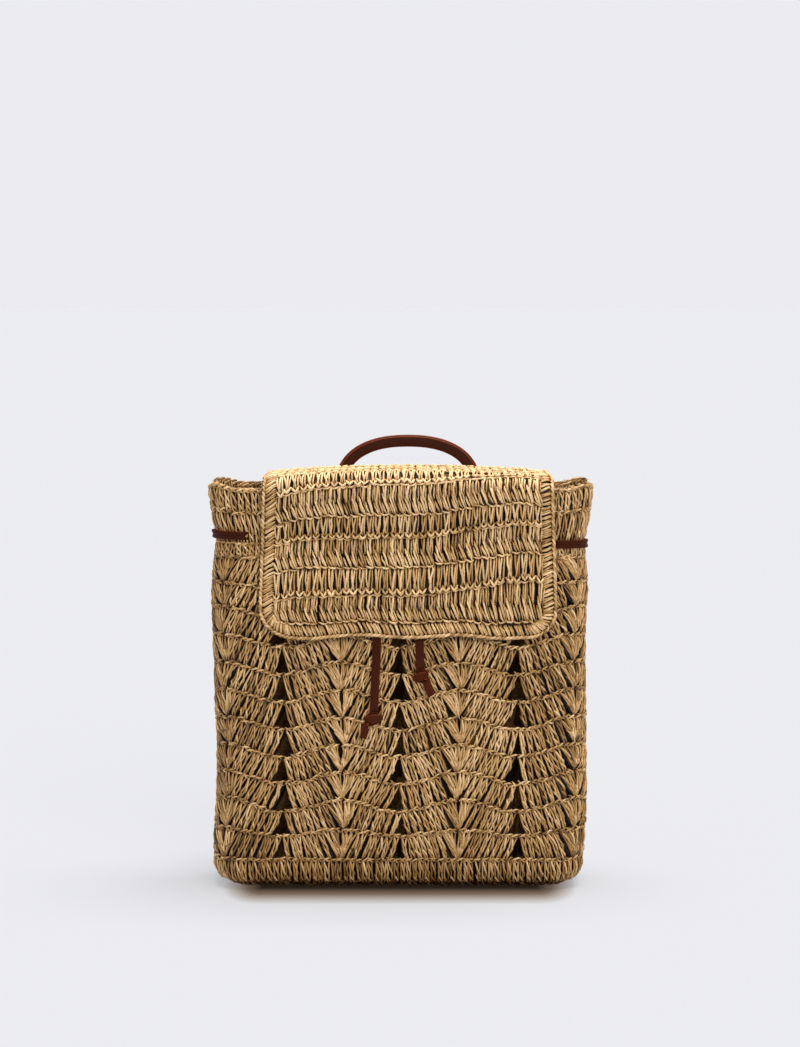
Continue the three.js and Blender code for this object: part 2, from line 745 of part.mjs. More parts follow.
// A shoulder strap, from under the handle down and out to a lower corner of the back.
function shoulderStrap(side) {
  const top = { x: (side * strapTopSpacing) / 2, z: bodyHeight - strapTopDrop };
  const foot = { x: (side * strapBottomSpacing) / 2, z: strapFoot };
  const chord = Math.hypot(foot.x - top.x, foot.z - top.z);
  const sewn = strapSewn / chord;
  const end = range(4).map((i) => (i * sewn) / 4);
  const free = range(15).map((i) => lerp(sewn, 1 - sewn, i / 14));
  const ways = [...end, ...free, ...end.map((t) => 1 - t).reverse()];
  return strapThrough(
    ways.map((t) => {
      const [x, z] = [lerp(top.x, foot.x, t), lerp(top.z, foot.z, t)];
      const bow = strapBow * Math.sin(Math.PI * clamp01((t - sewn) / (1 - 2 * sewn))) ** 1.25;
      const y = wall(backRun(x), z, onWall(strapThickness) + 2 * gap + bow).y;
      return { at: vec(x, y, z), width: strapWidth, thickness: strapThickness };
    }),
  );
}

const material = (colour, roughness) => new THREE.MeshStandardMaterial({ color: colour, roughness, metalness: 0 });
const straw = material(0x8c6d43, 0.75);
const darkLeather = material(0x3a1f12, 0.45);
const laceLeather = material(0x5a2c18, 0.55);

const backpack = new THREE.Group();
for (const [name, geometry, finish] of [
  ["base_panel", basePanel(), straw],
  ["openwork_wall", openworkWall(), straw],
  ["neck_band", neckBand(), straw],
  ["flap", flapPanel(), straw],
  ["flap_edging", flapEdging(), straw],
  ["drawcord_round", drawcordRound(), laceLeather],
  ["cord_tail_left", laceAlong(leftTail), laceLeather],
  ["cord_tail_right", laceAlong(rightTail), laceLeather],
  ["knot_left", knot(leftTail, leftKnot), laceLeather],
  ["knot_right", knot(rightTail, rightKnot), laceLeather],
  ["handle", handle(), darkLeather],
  ["shoulder_strap_left", shoulderStrap(-1), darkLeather],
  ["shoulder_strap_right", shoulderStrap(1), darkLeather],
]) {
  const mesh = new THREE.Mesh(geometry, finish);
  mesh.name = name;
  backpack.add(mesh);
}

export default backpack;
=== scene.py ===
# %% [markdown]
# A crocheted straw backpack: a body of rippling openwork, a plain neck with a drawcord, a flap,
# a leather handle and two straps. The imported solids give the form, and this script gives the
# looks. Crochet could be a bump pattern on the solids, but it would look printed at the outline
# and in the gaps. So every stitch is built from the strands of straw that make it, laid on the
# same surfaces as the solids, and light and shadow fall between the strands.

import bpy
import numpy as np
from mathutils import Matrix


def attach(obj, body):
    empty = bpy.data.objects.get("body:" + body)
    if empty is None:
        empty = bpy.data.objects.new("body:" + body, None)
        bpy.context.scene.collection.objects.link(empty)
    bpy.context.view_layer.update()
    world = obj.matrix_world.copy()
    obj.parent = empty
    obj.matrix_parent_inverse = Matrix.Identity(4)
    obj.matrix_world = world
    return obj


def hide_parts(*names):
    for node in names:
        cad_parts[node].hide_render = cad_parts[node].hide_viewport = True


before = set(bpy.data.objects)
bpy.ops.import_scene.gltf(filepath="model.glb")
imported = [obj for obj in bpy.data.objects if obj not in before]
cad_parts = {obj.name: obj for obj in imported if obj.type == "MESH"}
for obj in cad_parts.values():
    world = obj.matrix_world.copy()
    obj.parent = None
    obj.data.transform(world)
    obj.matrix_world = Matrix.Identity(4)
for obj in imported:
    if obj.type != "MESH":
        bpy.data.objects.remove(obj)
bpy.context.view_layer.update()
chance = np.random.default_rng(7)
scene = bpy.context.scene
print("nodes", sorted(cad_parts))

# %% [markdown]
# The photo is taken from a little above: some of the flap's top shows. Both sides of the bag
# look straight, which a wide lens from nearby wouldn't give, so the camera stands 3 m away with
# a long lens. It looks at a point near the flap, which puts the bag in the lower half of the
# picture. All lengths below are in millimetres until a mesh is made.

# %% Camera
MM = 0.001
photo_size = (800, 1047)
distance = 3000.0
rise = np.radians(4.0)
front_scale = 0.806  # millimetres a pixel, at the front of the bag
target = np.array([0.4, -60.0, 298.7])

camera_data = bpy.data.cameras.new("camera")
camera_data.sensor_fit = "HORIZONTAL"
camera_data.sensor_width = 36.0
camera_data.lens = 36.0 * distance / (front_scale * photo_size[0])
camera = bpy.data.objects.new("camera", camera_data)
scene.collection.objects.link(camera)
away = np.array([0.0, -np.cos(rise), np.sin(rise)]) * distance
camera.location = (target + away) * MM
camera.rotation_euler = (np.pi / 2 - rise, 0.0, 0.0)
scene.camera = camera
print("lens", round(camera_data.lens, 1))

# %% [markdown]
# The real body is a soft box. It could be sculpted, but the solids have it in numbers, and the
# same numbers keep every stitch on them: a rounded rectangle as plan, and a table that says how
# far the two ends, the front and the back stand out at each height.

# %% The body's sizes
half_width, half_depth, corner = 150.0, 55.0, 26.0
cloth, rib, gap = 1.5, 1.0, 0.3
hem_height, foot_radius = 25.0, 20.0
rounds, round_rise, repeats, ripple = 11, 22.3, 8, 10.0
neck_height, front_crown, side_crown = 55.7, 6.0, 3.0
rim_lift, gathers, gather_depth, back_shift = 7.0, 16, 1.6, 24.0
lift_from, lift_over = 0.86, 0.14  # the rim rises towards the corners here, in shares of the half width

front_run, side_run = 2 * (half_width - corner), 2 * (half_depth - corner)
corner_run = np.pi / 2 * corner
girth = 2 * (front_run + side_run) + 4 * corner_run
repeat_run = girth / repeats
openwork_top = hem_height + rounds * round_rise
body_height = openwork_top + neck_height

outline = np.array([
    # height, left, right, depth, crown
    [0.0, 0.993, 0.985, 0.99, 0.1],
    [0.06, 0.995, 0.982, 1.0, 0.3],
    [0.13, 0.988, 0.988, 1.0, 0.65],
    [0.22, 0.972, 0.992, 1.0, 0.9],
    [0.34, 0.965, 0.987, 1.0, 1.0],
    [0.46, 0.975, 0.985, 1.0, 1.0],
    [0.57, 0.982, 0.983, 0.99, 0.9],
    [0.66, 0.992, 0.987, 0.97, 0.75],
    [0.76, 0.997, 1.0, 0.93, 0.55],
    [0.83, 0.988, 0.992, 0.88, 0.35],
    [0.87, 0.982, 0.992, 0.85, 0.2],
    [0.93, 1.004, 1.02, 0.86, 0.2],
    [1.0, 1.02, 1.035, 0.88, 0.2],
    [1.03, 1.024, 1.04, 0.885, 0.2],
])
print("girth", round(girth, 1), "height", round(body_height, 1))

# %% [markdown]
# Three helpers come first: a soft step, a mix of two values, and a smooth curve through a column
# of the table. Straight lines between the rows would leave a crease at each of them.

# %% Smooth curves
def smooth(t):
    """From 0 to 1 without a corner at either end: 3 t squared less 2 t cubed."""
    t = np.clip(t, 0.0, 1.0)
    return t * t * (3.0 - 2.0 * t)


def lerp(a, b, t):
    """The mix of a and b: a where t is 0, b where t is 1."""
    return a + (b - a) * t


def through(column, share):
    """A smooth curve through one column of the outline: between two rows a cubic, whose slope at
    each row is that of the line from the row before to the row after."""
    heights, values = outline[:, 0], outline[:, column]
    last = len(heights) - 1
    i = np.clip(np.searchsorted(heights, share) - 1, 0, last - 1)
    before, after = np.maximum(i - 1, 0), np.minimum(i + 2, last)
    span = heights[i + 1] - heights[i]
    t = np.clip((share - heights[i]) / span, 0.0, 1.0)
    slope_a = (values[i + 1] - values[before]) / (heights[i + 1] - heights[before]) * span
    slope_b = (values[after] - values[i]) / (heights[after] - heights[i]) * span
    t2, t3 = t * t, t * t * t
    ends = (2 * t3 - 3 * t2 + 1) * values[i] + (3 * t2 - 2 * t3) * values[i + 1]
    return ends + (t3 - 2 * t2 + t) * slope_a + (t3 - t2) * slope_b


print("share of the depth at mid height", round(float(through(3, 0.5)), 3))

# %% [markdown]
# A place on the cloth is a distance round the body, a height, and a distance out from the
# cloth's middle. Places could be plain x, y and z, but crochet is worked round by round, so in
# these three a stitch is upright and square wherever the bag bulges.

# %% The wall
def plan(run):
    """The rounded rectangle: a smaller rectangle's outline plus the corner radius along the
    outward direction, which turns at the corners only. Both follow the distance round in
    straight pieces. Gives x, y and the outward direction."""
    cx, cy = half_width - corner, half_depth - corner
    steps = [0, front_run / 2, corner_run, side_run, corner_run, front_run, corner_run, side_run,
             corner_run, front_run / 2]
    knots = np.cumsum(steps)
    way = np.mod(run, girth)
    turn = np.interp(way, knots, np.radians([-90, -90, 0, 0, 90, 90, 180, 180, 270, 270]))
    x = np.interp(way, knots, [0, cx, cx, cx, cx, -cx, -cx, -cx, -cx, 0])
    y = np.interp(way, knots, [-cy, -cy, -cy, cy, cy, cy, cy, -cy, -cy, -cy])
    nx, ny = np.cos(turn), np.sin(turn)
    return x + corner * nx, y + corner * ny, nx, ny


def wall(run, height, out):
    """A point of the body's cloth: the plan, widened by the outline, plus the crowns that bulge
    the front and the ends, plus the ruffles of the neck, all along the outward direction."""
    run, height, out = np.broadcast_arrays(run, height, out)
    x, y, nx, ny = plan(run)
    share = height / body_height
    wide = lerp(through(1, share), through(2, share), smooth((x / half_width + 1) / 2))
    crown = through(4, share)
    across_front, across_side = 1 - (x / half_width) ** 2, 1 - (y / half_depth) ** 2
    neck = np.clip((height - openwork_top) / neck_height, 0, 1)
    ruffle = gather_depth * neck * smooth(1 - across_front)
    gather = ruffle * np.cos(2 * np.pi * gathers * run / girth)
    return np.stack([
        x * wide + nx * (side_crown * crown * across_side + gather + out),
        y * through(3, share) + ny * (front_crown * crown * across_front + gather + out),
        height,
    ], axis=-1)


def rim_height(run):
    """The rim stands higher at the four corners."""
    x, y, _, _ = plan(run)
    at_corner = smooth((np.abs(x) / half_width - lift_from) / lift_over) * (y / half_depth) ** 2
    return body_height + rim_lift * at_corner


print("front at mid height", np.round(wall(0.0, body_height / 2, 0.0), 1))

# %% [markdown]
# The rounds of the real bag ripple: fans of stitches push them up, and skipped stitches let them
# dip. Each round could be drawn by hand, but all follow one pattern of repeats, so one cosine
# gives every line on which stitches stand.

# %% The pattern of the rounds
def pattern_at(run):
    """The place in the pattern of repeats: the distance round, turned a little further at the
    back, so that no gap there faces a gap in front and the bag stays dark inside."""
    way = np.mod(run, girth)
    start, end = front_run / 2 + corner_run, girth / 2 - front_run / 3
    return run + back_shift * smooth((np.minimum(way, girth - way) - start) / (end - start))


def run_at(pattern):
    """The distance round at a place in the pattern, read from a table of the line above."""
    run = np.linspace(-60, girth + 60, 2000)
    return np.interp(pattern, pattern_at(run), run)


def round_height(row, run):
    """The line on which a round of stitches stands. It dips in the valleys and rises at the
    fans, as a cosine of the place in the pattern, and is straight where it meets a plain band."""
    swing = np.clip(row / 2, 0, 1) * np.clip((rounds - row) / 2, 0, 1)
    turn = 2 * np.pi * pattern_at(run) / repeat_run
    return hem_height + row * round_rise - ripple / 2 * swing * np.cos(turn)


print("gap spacing", round(repeat_run, 1), "at the back", np.round(run_at(4 * repeat_run), 1))

# %% [markdown]
# The flap is a second surface. Seen from the side it turns up from the back rim, runs over the
# mouth and bends down the front. A cloth simulation would drape it, but its stitches need places
# that don't move, so it follows a side view. A place on it is a distance across from its middle
# line, a distance along the cloth from the back rim, and a distance out.

# %% The flap's surface
flap_length, flap_top_width, flap_bottom_width, flap_shift = 234.5, 229.0, 243.0, 7.0
flap_corner, flap_rise, flap_crown, flap_clearance, flap_bend = 25.0, 7.8, 5.0, 4.6, 13.0
edging, flap_wave, hem_wave = 12.0, 1.3, 1.2
flap_slack = 1.6  # extra cloth in the middle, for each mm that it climbs there
wave_across, wave_along, hem_wave_across = 17.0, 60.0, 13.0  # how slowly the waves turn
flap_stand_off = cloth + rib + flap_clearance + cloth


def flap_side_view(x):
    """For each x, points a short way apart along the side view: a quarter turn up from the back
    rim, a straight over the mouth, a quarter turn, and the front wall's line moved forward."""
    x = x[:, None]
    rim = wall(girth / 2 - x, body_height, 0.0)[..., 1]
    foot = body_height + gap
    top = foot + flap_rise + flap_crown * (1 - ((x - flap_shift) / (flap_top_width / 2)) ** 2)

    def front(height):
        share = height / body_height
        crown = front_crown * through(4, share) * (1 - (x / half_width) ** 2)
        return -(half_depth * through(3, share) + crown + flap_stand_off)

    turn = np.linspace(0, np.pi / 2, 7)[None, :]
    up_y = rim - (top - foot) * (1 - np.cos(turn))
    up_z = foot + (top - foot) * np.sin(turn)
    bend_y = front(top - flap_bend) + flap_bend - flap_bend * np.sin(turn)
    bend_z = top - flap_bend * (1 - np.cos(turn))
    down_z = top - flap_bend - 4.0 * np.arange(1, 40)[None, :]
    return (np.concatenate([up_y, bend_y, front(down_z)], axis=1),
            np.concatenate([up_z, bend_z, down_z], axis=1))


def flap_middle(across, way):
    """The middle of the flap's cloth: the side view at this x, followed for a length, with soft
    waves down the front and along the lower edge. The cloth is a little longer in the middle,
    where it climbs higher over the mouth, so the lower edge hangs level."""
    low, front = smooth((way / flap_length - 0.75) * 4), smooth((way / flap_length - 0.45) * 3)
    x = flap_shift + across
    y, z = flap_side_view(x)
    pieces = np.hypot(np.diff(y, axis=1), np.diff(z, axis=1))
    ends = np.concatenate([np.zeros((len(x), 1)), np.cumsum(pieces, axis=1)], axis=1)
    slack = flap_slack * flap_crown * (1 - (across / (flap_top_width / 2)) ** 2) * front
    length = np.maximum(way + slack + hem_wave * low * np.cos(across / hem_wave_across), 0.0)
    i = np.clip((ends <= length[:, None]).sum(axis=1) - 1, 0, pieces.shape[1] - 1)
    row = np.arange(len(x))
    t = (length - ends[row, i]) / pieces[row, i]
    wave = flap_wave * front * np.cos(across / wave_across + way / wave_along)
    depth = lerp(y[row, i], y[row, i + 1], t) - wave
    return np.stack([x, depth, lerp(z[row, i], z[row, i + 1], t)], axis=-1)


def flap(across, way, out):
    """A point of the flap: its middle plus a distance along the direction square to the cloth,
    which is the cross product of the ways along and across it."""
    across, way, out = np.broadcast_arrays(across, way, out)
    shape = across.shape
    a, w, o = across.ravel(), way.ravel(), out.ravel()
    along = flap_middle(a, w + 0.5) - flap_middle(a, w - 0.5)
    over = flap_middle(a + 0.5, w) - flap_middle(a - 0.5, w)
    square = np.cross(along, over)
    square /= np.linalg.norm(square, axis=1)[:, None]
    return (flap_middle(a, w) + square * o[:, None]).reshape(shape + (3,))


def flap_half(way, inset):
    """Half the flap's width, less an inset, at a distance along it."""
    return lerp(flap_top_width, flap_bottom_width, way / flap_length) / 2 - inset


print("flap from", np.round(flap(np.array([0.0]), np.array([0.0]), 0.0)[0], 1),
      "to", np.round(flap(np.array([0.0]), np.array([flap_length]), 0.0)[0], 1))

# %% [markdown]
# Every strand is a tube: rings of points round a centre line. Curves with a bevel would do, but
# thousands of them are slow, so the tubes of one kind are built together, as one array of
# strands by rings by points. Each keeps two things for its material: the length along the
# strand with the way round it, and a tone, which is painted darker on the side that faces the
# cloth, as painted shade.

# %% Tubes
# Painted shade: the tone falls towards a strand's back and sides, where less light reaches.
face_shade, middle_facing = 0.25, 0.4  # how much the tone falls towards a strand's back, and from where


def unit(v):
    """The same directions with length one."""
    return v / np.maximum(np.linalg.norm(v, axis=-1, keepdims=True), 1e-9)


def tubes(middle, side, wide, thick, sides, tone, outward=None, profile=None):
    """Tubes round centre lines, n lines of k points. A ring stands square to its line: a point
    of it is the middle, plus half the width times the cosine along side, plus half the
    thickness times the sine along the cross product of the line's way and side. A profile
    takes the place of the cosine and the sine. Where an outward direction is given, the tone
    falls from the outer face to the sides and the back, as painted shade."""
    n, k, _ = middle.shape
    way = unit(np.gradient(middle, axis=1))
    side = unit(side - (side * way).sum(-1, keepdims=True) * way)
    up = np.cross(way, side)
    turn = 2 * np.pi * (np.arange(sides) + 0.5) / sides
    c, s = profile or (np.cos(turn), np.sin(turn))
    c, s = c[:, None], s[:, None]
    wide = np.broadcast_to(wide, (n, k))[..., None, None]
    thick = np.broadcast_to(thick, (n, k))[..., None, None]
    side, up = side[:, :, None], up[:, :, None]
    ring = middle[:, :, None] + side * wide * c + up * thick * s
    index = np.arange(n * k * sides).reshape(n, k, sides)
    following = np.roll(index, -1, axis=2)
    quads = np.stack([index[:, :-1], following[:, :-1], following[:, 1:], index[:, 1:]], axis=-1)
    step = np.linalg.norm(np.diff(middle, axis=1), axis=-1)
    # The length is in centimetres, and each strand starts somewhere else in its pattern.
    length = np.concatenate([np.zeros((n, 1)), np.cumsum(step, axis=1)], axis=1) / 10
    length = length + 10 * chance.random((n, 1))
    start = np.broadcast_to(length[:, :-1, None], (n, k - 1, sides))
    end = np.broadcast_to(length[:, 1:, None], (n, k - 1, sides))
    low = np.broadcast_to(np.arange(sides) / sides, (n, k - 1, sides))
    high = low + 1 / sides
    uv = np.stack([np.stack([start, low], -1), np.stack([start, high], -1),
                   np.stack([end, high], -1), np.stack([end, low], -1)], axis=-2)
    tones = np.broadcast_to(np.asarray(tone).reshape(len(tone), -1, 1), (n, k, sides))
    if outward is not None:
        # The surface of an ellipse faces along cosine over width and sine over thickness.
        square = unit(side * c / wide + up * s / thick)
        facing = (square * unit(outward)[:, :, None]).sum(-1)
        # Painted shade: the tone falls where the surface turns away from outward.
        tones = np.clip(tones + face_shade * (facing - middle_facing), 0, 1)
    return {"points": ring.reshape(-1, 3), "quads": quads.reshape(-1, 4),
            "uv": uv.reshape(-1, 2), "tone": tones.reshape(-1)}


print("unit of 3, 4 is", unit(np.array([3.0, 4.0])))

# %% [markdown]
# A piece of the bag could be one object for each strand, but thousands of objects are slow to
# draw and to export. So all strands of a piece are joined into one mesh, with its place in the
# mesh itself, and the piece takes the place of the solids that it shows.

# %% Pieces
def make_piece(name, parts, material, replaces=()):
    """One mesh of all the parts, in the place of the named solids."""
    starts = np.cumsum([0] + [len(part["points"]) for part in parts])
    points = np.concatenate([part["points"] for part in parts]) * MM
    quads = np.concatenate([part["quads"] + start for part, start in zip(parts, starts)])
    mesh = bpy.data.meshes.new(name)
    mesh.vertices.add(len(points))
    mesh.vertices.foreach_set("co", points.ravel())
    mesh.loops.add(quads.size)
    mesh.loops.foreach_set("vertex_index", quads.ravel().astype(np.int32))
    mesh.polygons.add(len(quads))
    mesh.polygons.foreach_set("loop_start", np.arange(0, quads.size, 4, dtype=np.int32))
    uv = np.concatenate([part["uv"] for part in parts])
    mesh.uv_layers.new(name="strand").data.foreach_set("uv", uv.ravel())
    tone = np.concatenate([part["tone"] for part in parts])
    mesh.attributes.new("tone", "FLOAT", "POINT").data.foreach_set("value", tone)
    mesh.update(calc_edges=True)
    mesh.shade_smooth()
    obj = bpy.data.objects.new(name, mesh)
    scene.collection.objects.link(obj)
    mesh.materials.append(material)
    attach(obj, "root")
    if replaces:
        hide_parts(*replaces)
    low, high = points.min(axis=0), points.max(axis=0)
    print(name, 2 * len(quads), "triangles", np.round(low * 1000, 1), np.round(high * 1000, 1))
    return obj


# %% [markdown]
# All materials are made of a few nodes of the same kinds. They could be joined by hand in the
# node editor, but a script that does it gives the same nodes each time, so helpers come first:
# a colour, a material with its gloss, a colour ramp, stains by noise, and small bumps.

# %% Helpers for materials
def srgb(r, g, b):
    """A colour of a screen, 0 to 255, as the light that it stands for."""
    c = np.array([r, g, b]) / 255
    return (*np.where(c <= 0.04045, c / 12.92, ((c + 0.055) / 1.055) ** 2.4), 1.0)


def new_material(name, roughness, gloss):
    """A material, its shader, a function that adds a node, and one that joins two sockets."""
    material = bpy.data.materials.new(name)
    material.use_nodes = True
    tree = material.node_tree
    shader = tree.nodes["Principled BSDF"]
    shader.inputs["Roughness"].default_value = roughness
    shader.inputs["Specular IOR Level"].default_value = gloss

    def node(kind, **values):
        made = tree.nodes.new(kind)
        for key, value in values.items():
            if key in made.inputs:
                made.inputs[key].default_value = value
            else:
                setattr(made, key, value)
        return made

    return material, shader, node, tree.links.new


def colour_ramp(node, stops):
    """A ramp that mixes the colours of the stops, each a place from 0 to 1 and a colour."""
    ramp = node("ShaderNodeValToRGB")
    elements = ramp.color_ramp.elements
    while len(elements) < len(stops):
        elements.new(0.5)
    for element, (at, colour) in zip(elements, stops):
        element.position = at
        element.color = colour
    return ramp


def stained(node, join, colour, place, span, **noise):
    """The colour times a factor, which follows noise at a place. The span gives the noise where
    the factor is least and most, and then those two factors."""
    stain = node("ShaderNodeTexNoise", **noise)
    join(place, stain.inputs["Vector"])
    factor = node("ShaderNodeMapRange", **dict(zip(("From Min", "From Max", "To Min", "To Max"), span)))
    join(stain.outputs["Fac"], factor.inputs["Value"])
    product = node("ShaderNodeMix", data_type="RGBA", blend_type="MULTIPLY", Factor=1.0)
    join(colour, product.inputs["A"])
    join(factor.outputs["Result"], product.inputs["B"])
    return product.outputs["Result"]


def bumps(node, join, shader, height, **bump):
    """Small bumps of a height, on the shader."""
    made = node("ShaderNodeBump", **bump)
    join(height, made.inputs["Height"])
    join(made.outputs["Normal"], shader.inputs["Normal"])


print("the backdrop's tone", np.round(srgb(236, 236, 240), 3))

# %% [markdown]
# The straw is a strip of paper twisted into yarn. It is tan and a little glossy on the folds, no
# two strands are quite alike, and the twist shows as fine creases that wind round the strand. An
# image could show this, but one picture would repeat. So the tone of a strand picks its colour,
# slow noise stains it, and a wave across the length and the way round gives the creases. The
# tone also carries the painted shade and painted light of the stitches.

# %% Straw
def straw_material():
    """The tone through a ramp, times noise, with bumps from a wave along the strand."""
    material, shader, node, join = new_material("straw", 0.44, 0.45)
    tone = node("ShaderNodeAttribute", attribute_name="tone")
    # The ramp's near black end is for deep painted shade, its pale end for painted light.
    ramp = colour_ramp(node, [(0.0, srgb(26, 13, 5)), (0.3, srgb(108, 74, 36)), (0.6, srgb(195, 150, 89)),
                              (1.0, srgb(255, 217, 163))])
    join(tone.outputs["Fac"], ramp.inputs["Fac"])
    uv = node("ShaderNodeUVMap", uv_map="strand")
    stretch = node("ShaderNodeMapping", Scale=(1.6, 3.0, 1.0))
    join(uv.outputs["UV"], stretch.inputs["Vector"])
    colour = stained(node, join, ramp.outputs["Color"], stretch.outputs["Vector"], (0.3, 0.7, 0.72, 1.12),
                     Scale=2.2, Detail=3.0, Roughness=0.6)
    join(colour, shader.inputs["Base Color"])
    twist = node("ShaderNodeMapping", Scale=(2.6, 3.0, 1.0), Rotation=(0.0, 0.0, 0.5))
    join(uv.outputs["UV"], twist.inputs["Vector"])
    crease = node("ShaderNodeTexWave", Scale=0.6, Distortion=2.0, Detail=2.0)
    join(twist.outputs["Vector"], crease.inputs["Vector"])
    bumps(node, join, shader, crease.outputs["Fac"], Strength=0.35, Distance=0.0004)
    return material


straw = straw_material()
print("made", straw.name)

# %% [markdown]
# The leather is smooth and dark. Its cut edges catch the light as a thin brown line, painted
# into an edge colour as a painted highlight, and the lace is redder and duller. Three materials
# could be made by hand, but they differ in numbers only, so one function makes them, from a
# face colour and a painted edge highlight colour that the tone picks between.

# %% Leather
def leather_material(name, face, edge, roughness, grain, gloss):
    """The tone mixes the face colour and the painted highlight colour of the edges, times fine
    noise, with bumps from cells of skin.
    """
    material, shader, node, join = new_material(name, roughness, gloss)
    tone = node("ShaderNodeAttribute", attribute_name="tone")
    mix = node("ShaderNodeMix", data_type="RGBA", A=srgb(*face), B=srgb(*edge))
    join(tone.outputs["Fac"], mix.inputs["Factor"])
    place = node("ShaderNodeTexCoord").outputs["Object"]
    colour = stained(node, join, mix.outputs["Result"], place, (0.0, 1.0, 0.8, 1.2), Scale=90.0, Detail=3.0)
    join(colour, shader.inputs["Base Color"])
    skin = node("ShaderNodeTexVoronoi", Scale=1400.0)
    join(place, skin.inputs["Vector"])
    bumps(node, join, shader, skin.outputs["Distance"], Strength=grain, Distance=0.0002)
    return material


handle_leather = leather_material("handle leather", (50, 20, 9), (136, 62, 30), 0.42, 0.25, 0.12)
lace_leather = leather_material("lace leather", (50, 20, 9), (128, 56, 28), 0.5, 0.2, 0.06)
strap_leather = leather_material("strap leather", (50, 24, 12), (104, 54, 30), 0.42, 0.25, 0.12)
print("made", handle_leather.name, lace_leather.name, strap_leather.name)

# %% [markdown]
# Handle, lace and straps are flat bands of leather. A box would have hard corners that no
# leather has, so a band is a tube whose ring is a squared ellipse: flat faces with rounded
# edges. It closes at both ends, and its edges have a higher tone, a painted highlight.

# %% Flat bands
square_power, edge_from, crease_width = 0.55, 0.93, 0.3


def curve(places, count):
    """A smooth line through places: a Catmull-Rom cubic between neighbours, at even steps."""
    p = np.asarray(places, float)
    p = np.concatenate([[2 * p[0] - p[1]], p, [2 * p[-1] - p[-2]]])
    at = np.linspace(0, len(p) - 3, count)
    i = np.minimum(at.astype(int), len(p) - 4)
    t = (at - i)[:, None]
    a, b, c, d = p[i], p[i + 1], p[i + 2], p[i + 3]
    return 0.5 * (2 * b + (c - a) * t + (2 * a - 5 * b + 4 * c - d) * t ** 2
                  + (3 * b - a - 3 * c + d) * t ** 3)


def capped(values, ends):
    """The values along a strand, with a ring more at each end that has shrunk to a point."""
    return np.concatenate([[ends[0]], values, [ends[1]]])


def flat_band(middle, side, wide, thick, sides=12, edge_highlight_tone=0.6, face_tone=0.1, crease=0.0):
    """A tube whose ring is a squared ellipse: the cosine and the sine are raised to a power below
    one. A crease pulls in the middle of both faces, or swells it where it is negative."""
    n = len(middle)
    wide, thick = np.broadcast_to(wide, n), np.broadcast_to(thick, n)
    middle, side = capped(middle, middle[[0, -1]]), capped(side, side[[0, -1]])
    wide, thick = capped(wide, [0.001, 0.001]), capped(thick, [0.001, 0.001])
    turn = 2 * np.pi * (np.arange(sides) + 0.5) / sides
    c, s = (np.sign(wave) * np.abs(wave) ** square_power for wave in (np.cos(turn), np.sin(turn)))
    s = s * (1 - crease * np.exp(-(c / crease_width) ** 2))
    made = tubes(middle[None], side[None], wide[None], thick[None], sides, [0.0], profile=(c, s))
    # Painted highlight: the edges get the higher tone.
    made["tone"] = np.tile(np.where(np.abs(c) > edge_from, edge_highlight_tone, face_tone), len(middle))
    return made


print("a curve through 0, 1 and 4", np.round(curve([[0.0], [1.0], [4.0]], 5).ravel(), 2))

# %% [markdown]
# The drawcord is a flat lace. Its two free ends come out through the first pair of eyelets,
# under the flap, turn down and hang in front of the openwork. A simulated cord would hang
# straight, but the photo shows how these lie, so their points are read from it: the distance
# round the body, the height, and the distance out.

# %% The lace's way
lace_width, lace_thickness, lace_drop, lace_tilt = 7.0, 2.2, 41.5, 8.0
lace_clearance, eyelet_width = 0.5, 15.0
eyelets = np.array([0.093, 0.16, 0.24, 0.322, 0.441, 0.56, 0.685, 0.79, 0.872])


def on_wall(thickness):
    """How far out a piece of this thickness lies when it rests on the outside of the wall."""
    return cloth + rib + gap + thickness / 2


def lace_height(run):
    """The height of the lace, which runs lower at the right end."""
    return body_height - lace_drop - lace_tilt / 2 * plan(run)[0] / half_width


def lace_on_wall(places, count):
    """The lace along places on the wall, each a run, a height and a distance out. Its width
    stays in the wall, square to its way."""
    path = curve(places, count)
    step = np.gradient(path[:, :2], axis=0)
    step /= np.linalg.norm(step, axis=1)[:, None]
    middle = wall(path[:, 0], path[:, 1], path[:, 2])
    beside = wall(path[:, 0] + step[:, 1], path[:, 1] - step[:, 0], path[:, 2])
    return middle, beside - middle


left_tail = [
    [-46.0, 285.4, -3.1], [-42.5, 285.4, -2.9], [-39.5, 285.4, -1.7], [-36.5, 285.4, 0.6],
    [-33.5, 285.2, 2.8], [-30.8, 284.5, 3.8], [-28.2, 283.1, 3.9], [-25.9, 281.0, 3.9],
    [-23.9, 278.2, 3.9], [-22.3, 274.5, 3.9], [-21.1, 269.8, 3.9], [-20.4, 263.5, 3.9],
    [-19.9, 254.5, 3.9], [-19.2, 243.5, 3.9], [-18.7, 229.5, 3.9], [-18.4, 214.5, 4.0],
    [-18.6, 199.5, 4.1], [-19.2, 184.5, 4.2], [-20.0, 170.5, 4.6], [-20.6, 157.5, 5.4],
    [-21.0, 147.0, 6.4],
]
right_tail = [
    [46.0, 283.4, -3.1], [42.5, 283.4, -2.9], [39.5, 283.4, -1.7], [36.5, 283.4, 0.6],
    [33.5, 283.2, 2.8], [30.6, 282.4, 3.8], [27.8, 280.9, 3.9], [25.3, 278.6, 3.9],
    [23.1, 275.5, 3.9], [21.3, 271.6, 3.9], [19.9, 266.7, 3.9], [18.9, 260.5, 3.9],
    [18.1, 252.0, 3.9], [17.4, 241.5, 3.9], [16.8, 228.5, 3.9], [16.5, 214.5, 4.0],
    [16.5, 201.5, 4.4], [16.8, 190.5, 5.2], [17.2, 181.3, 6.4],
]
print("the lace lies", round(on_wall(lace_thickness), 2), "mm out from the middle of the wall")

# %% [markdown]
# A knot is an overhand knot pulled tight: the lace turns round itself, crosses its own front and
# leaves at the bottom as a short cut end. A ball with a tail would stand for it, but up close
# the turns show, so it is one lace along an oval that narrows in depth as it goes down.

# %% Knots
knot_below = 6.5  # the middle of the knot, below the end of the tail


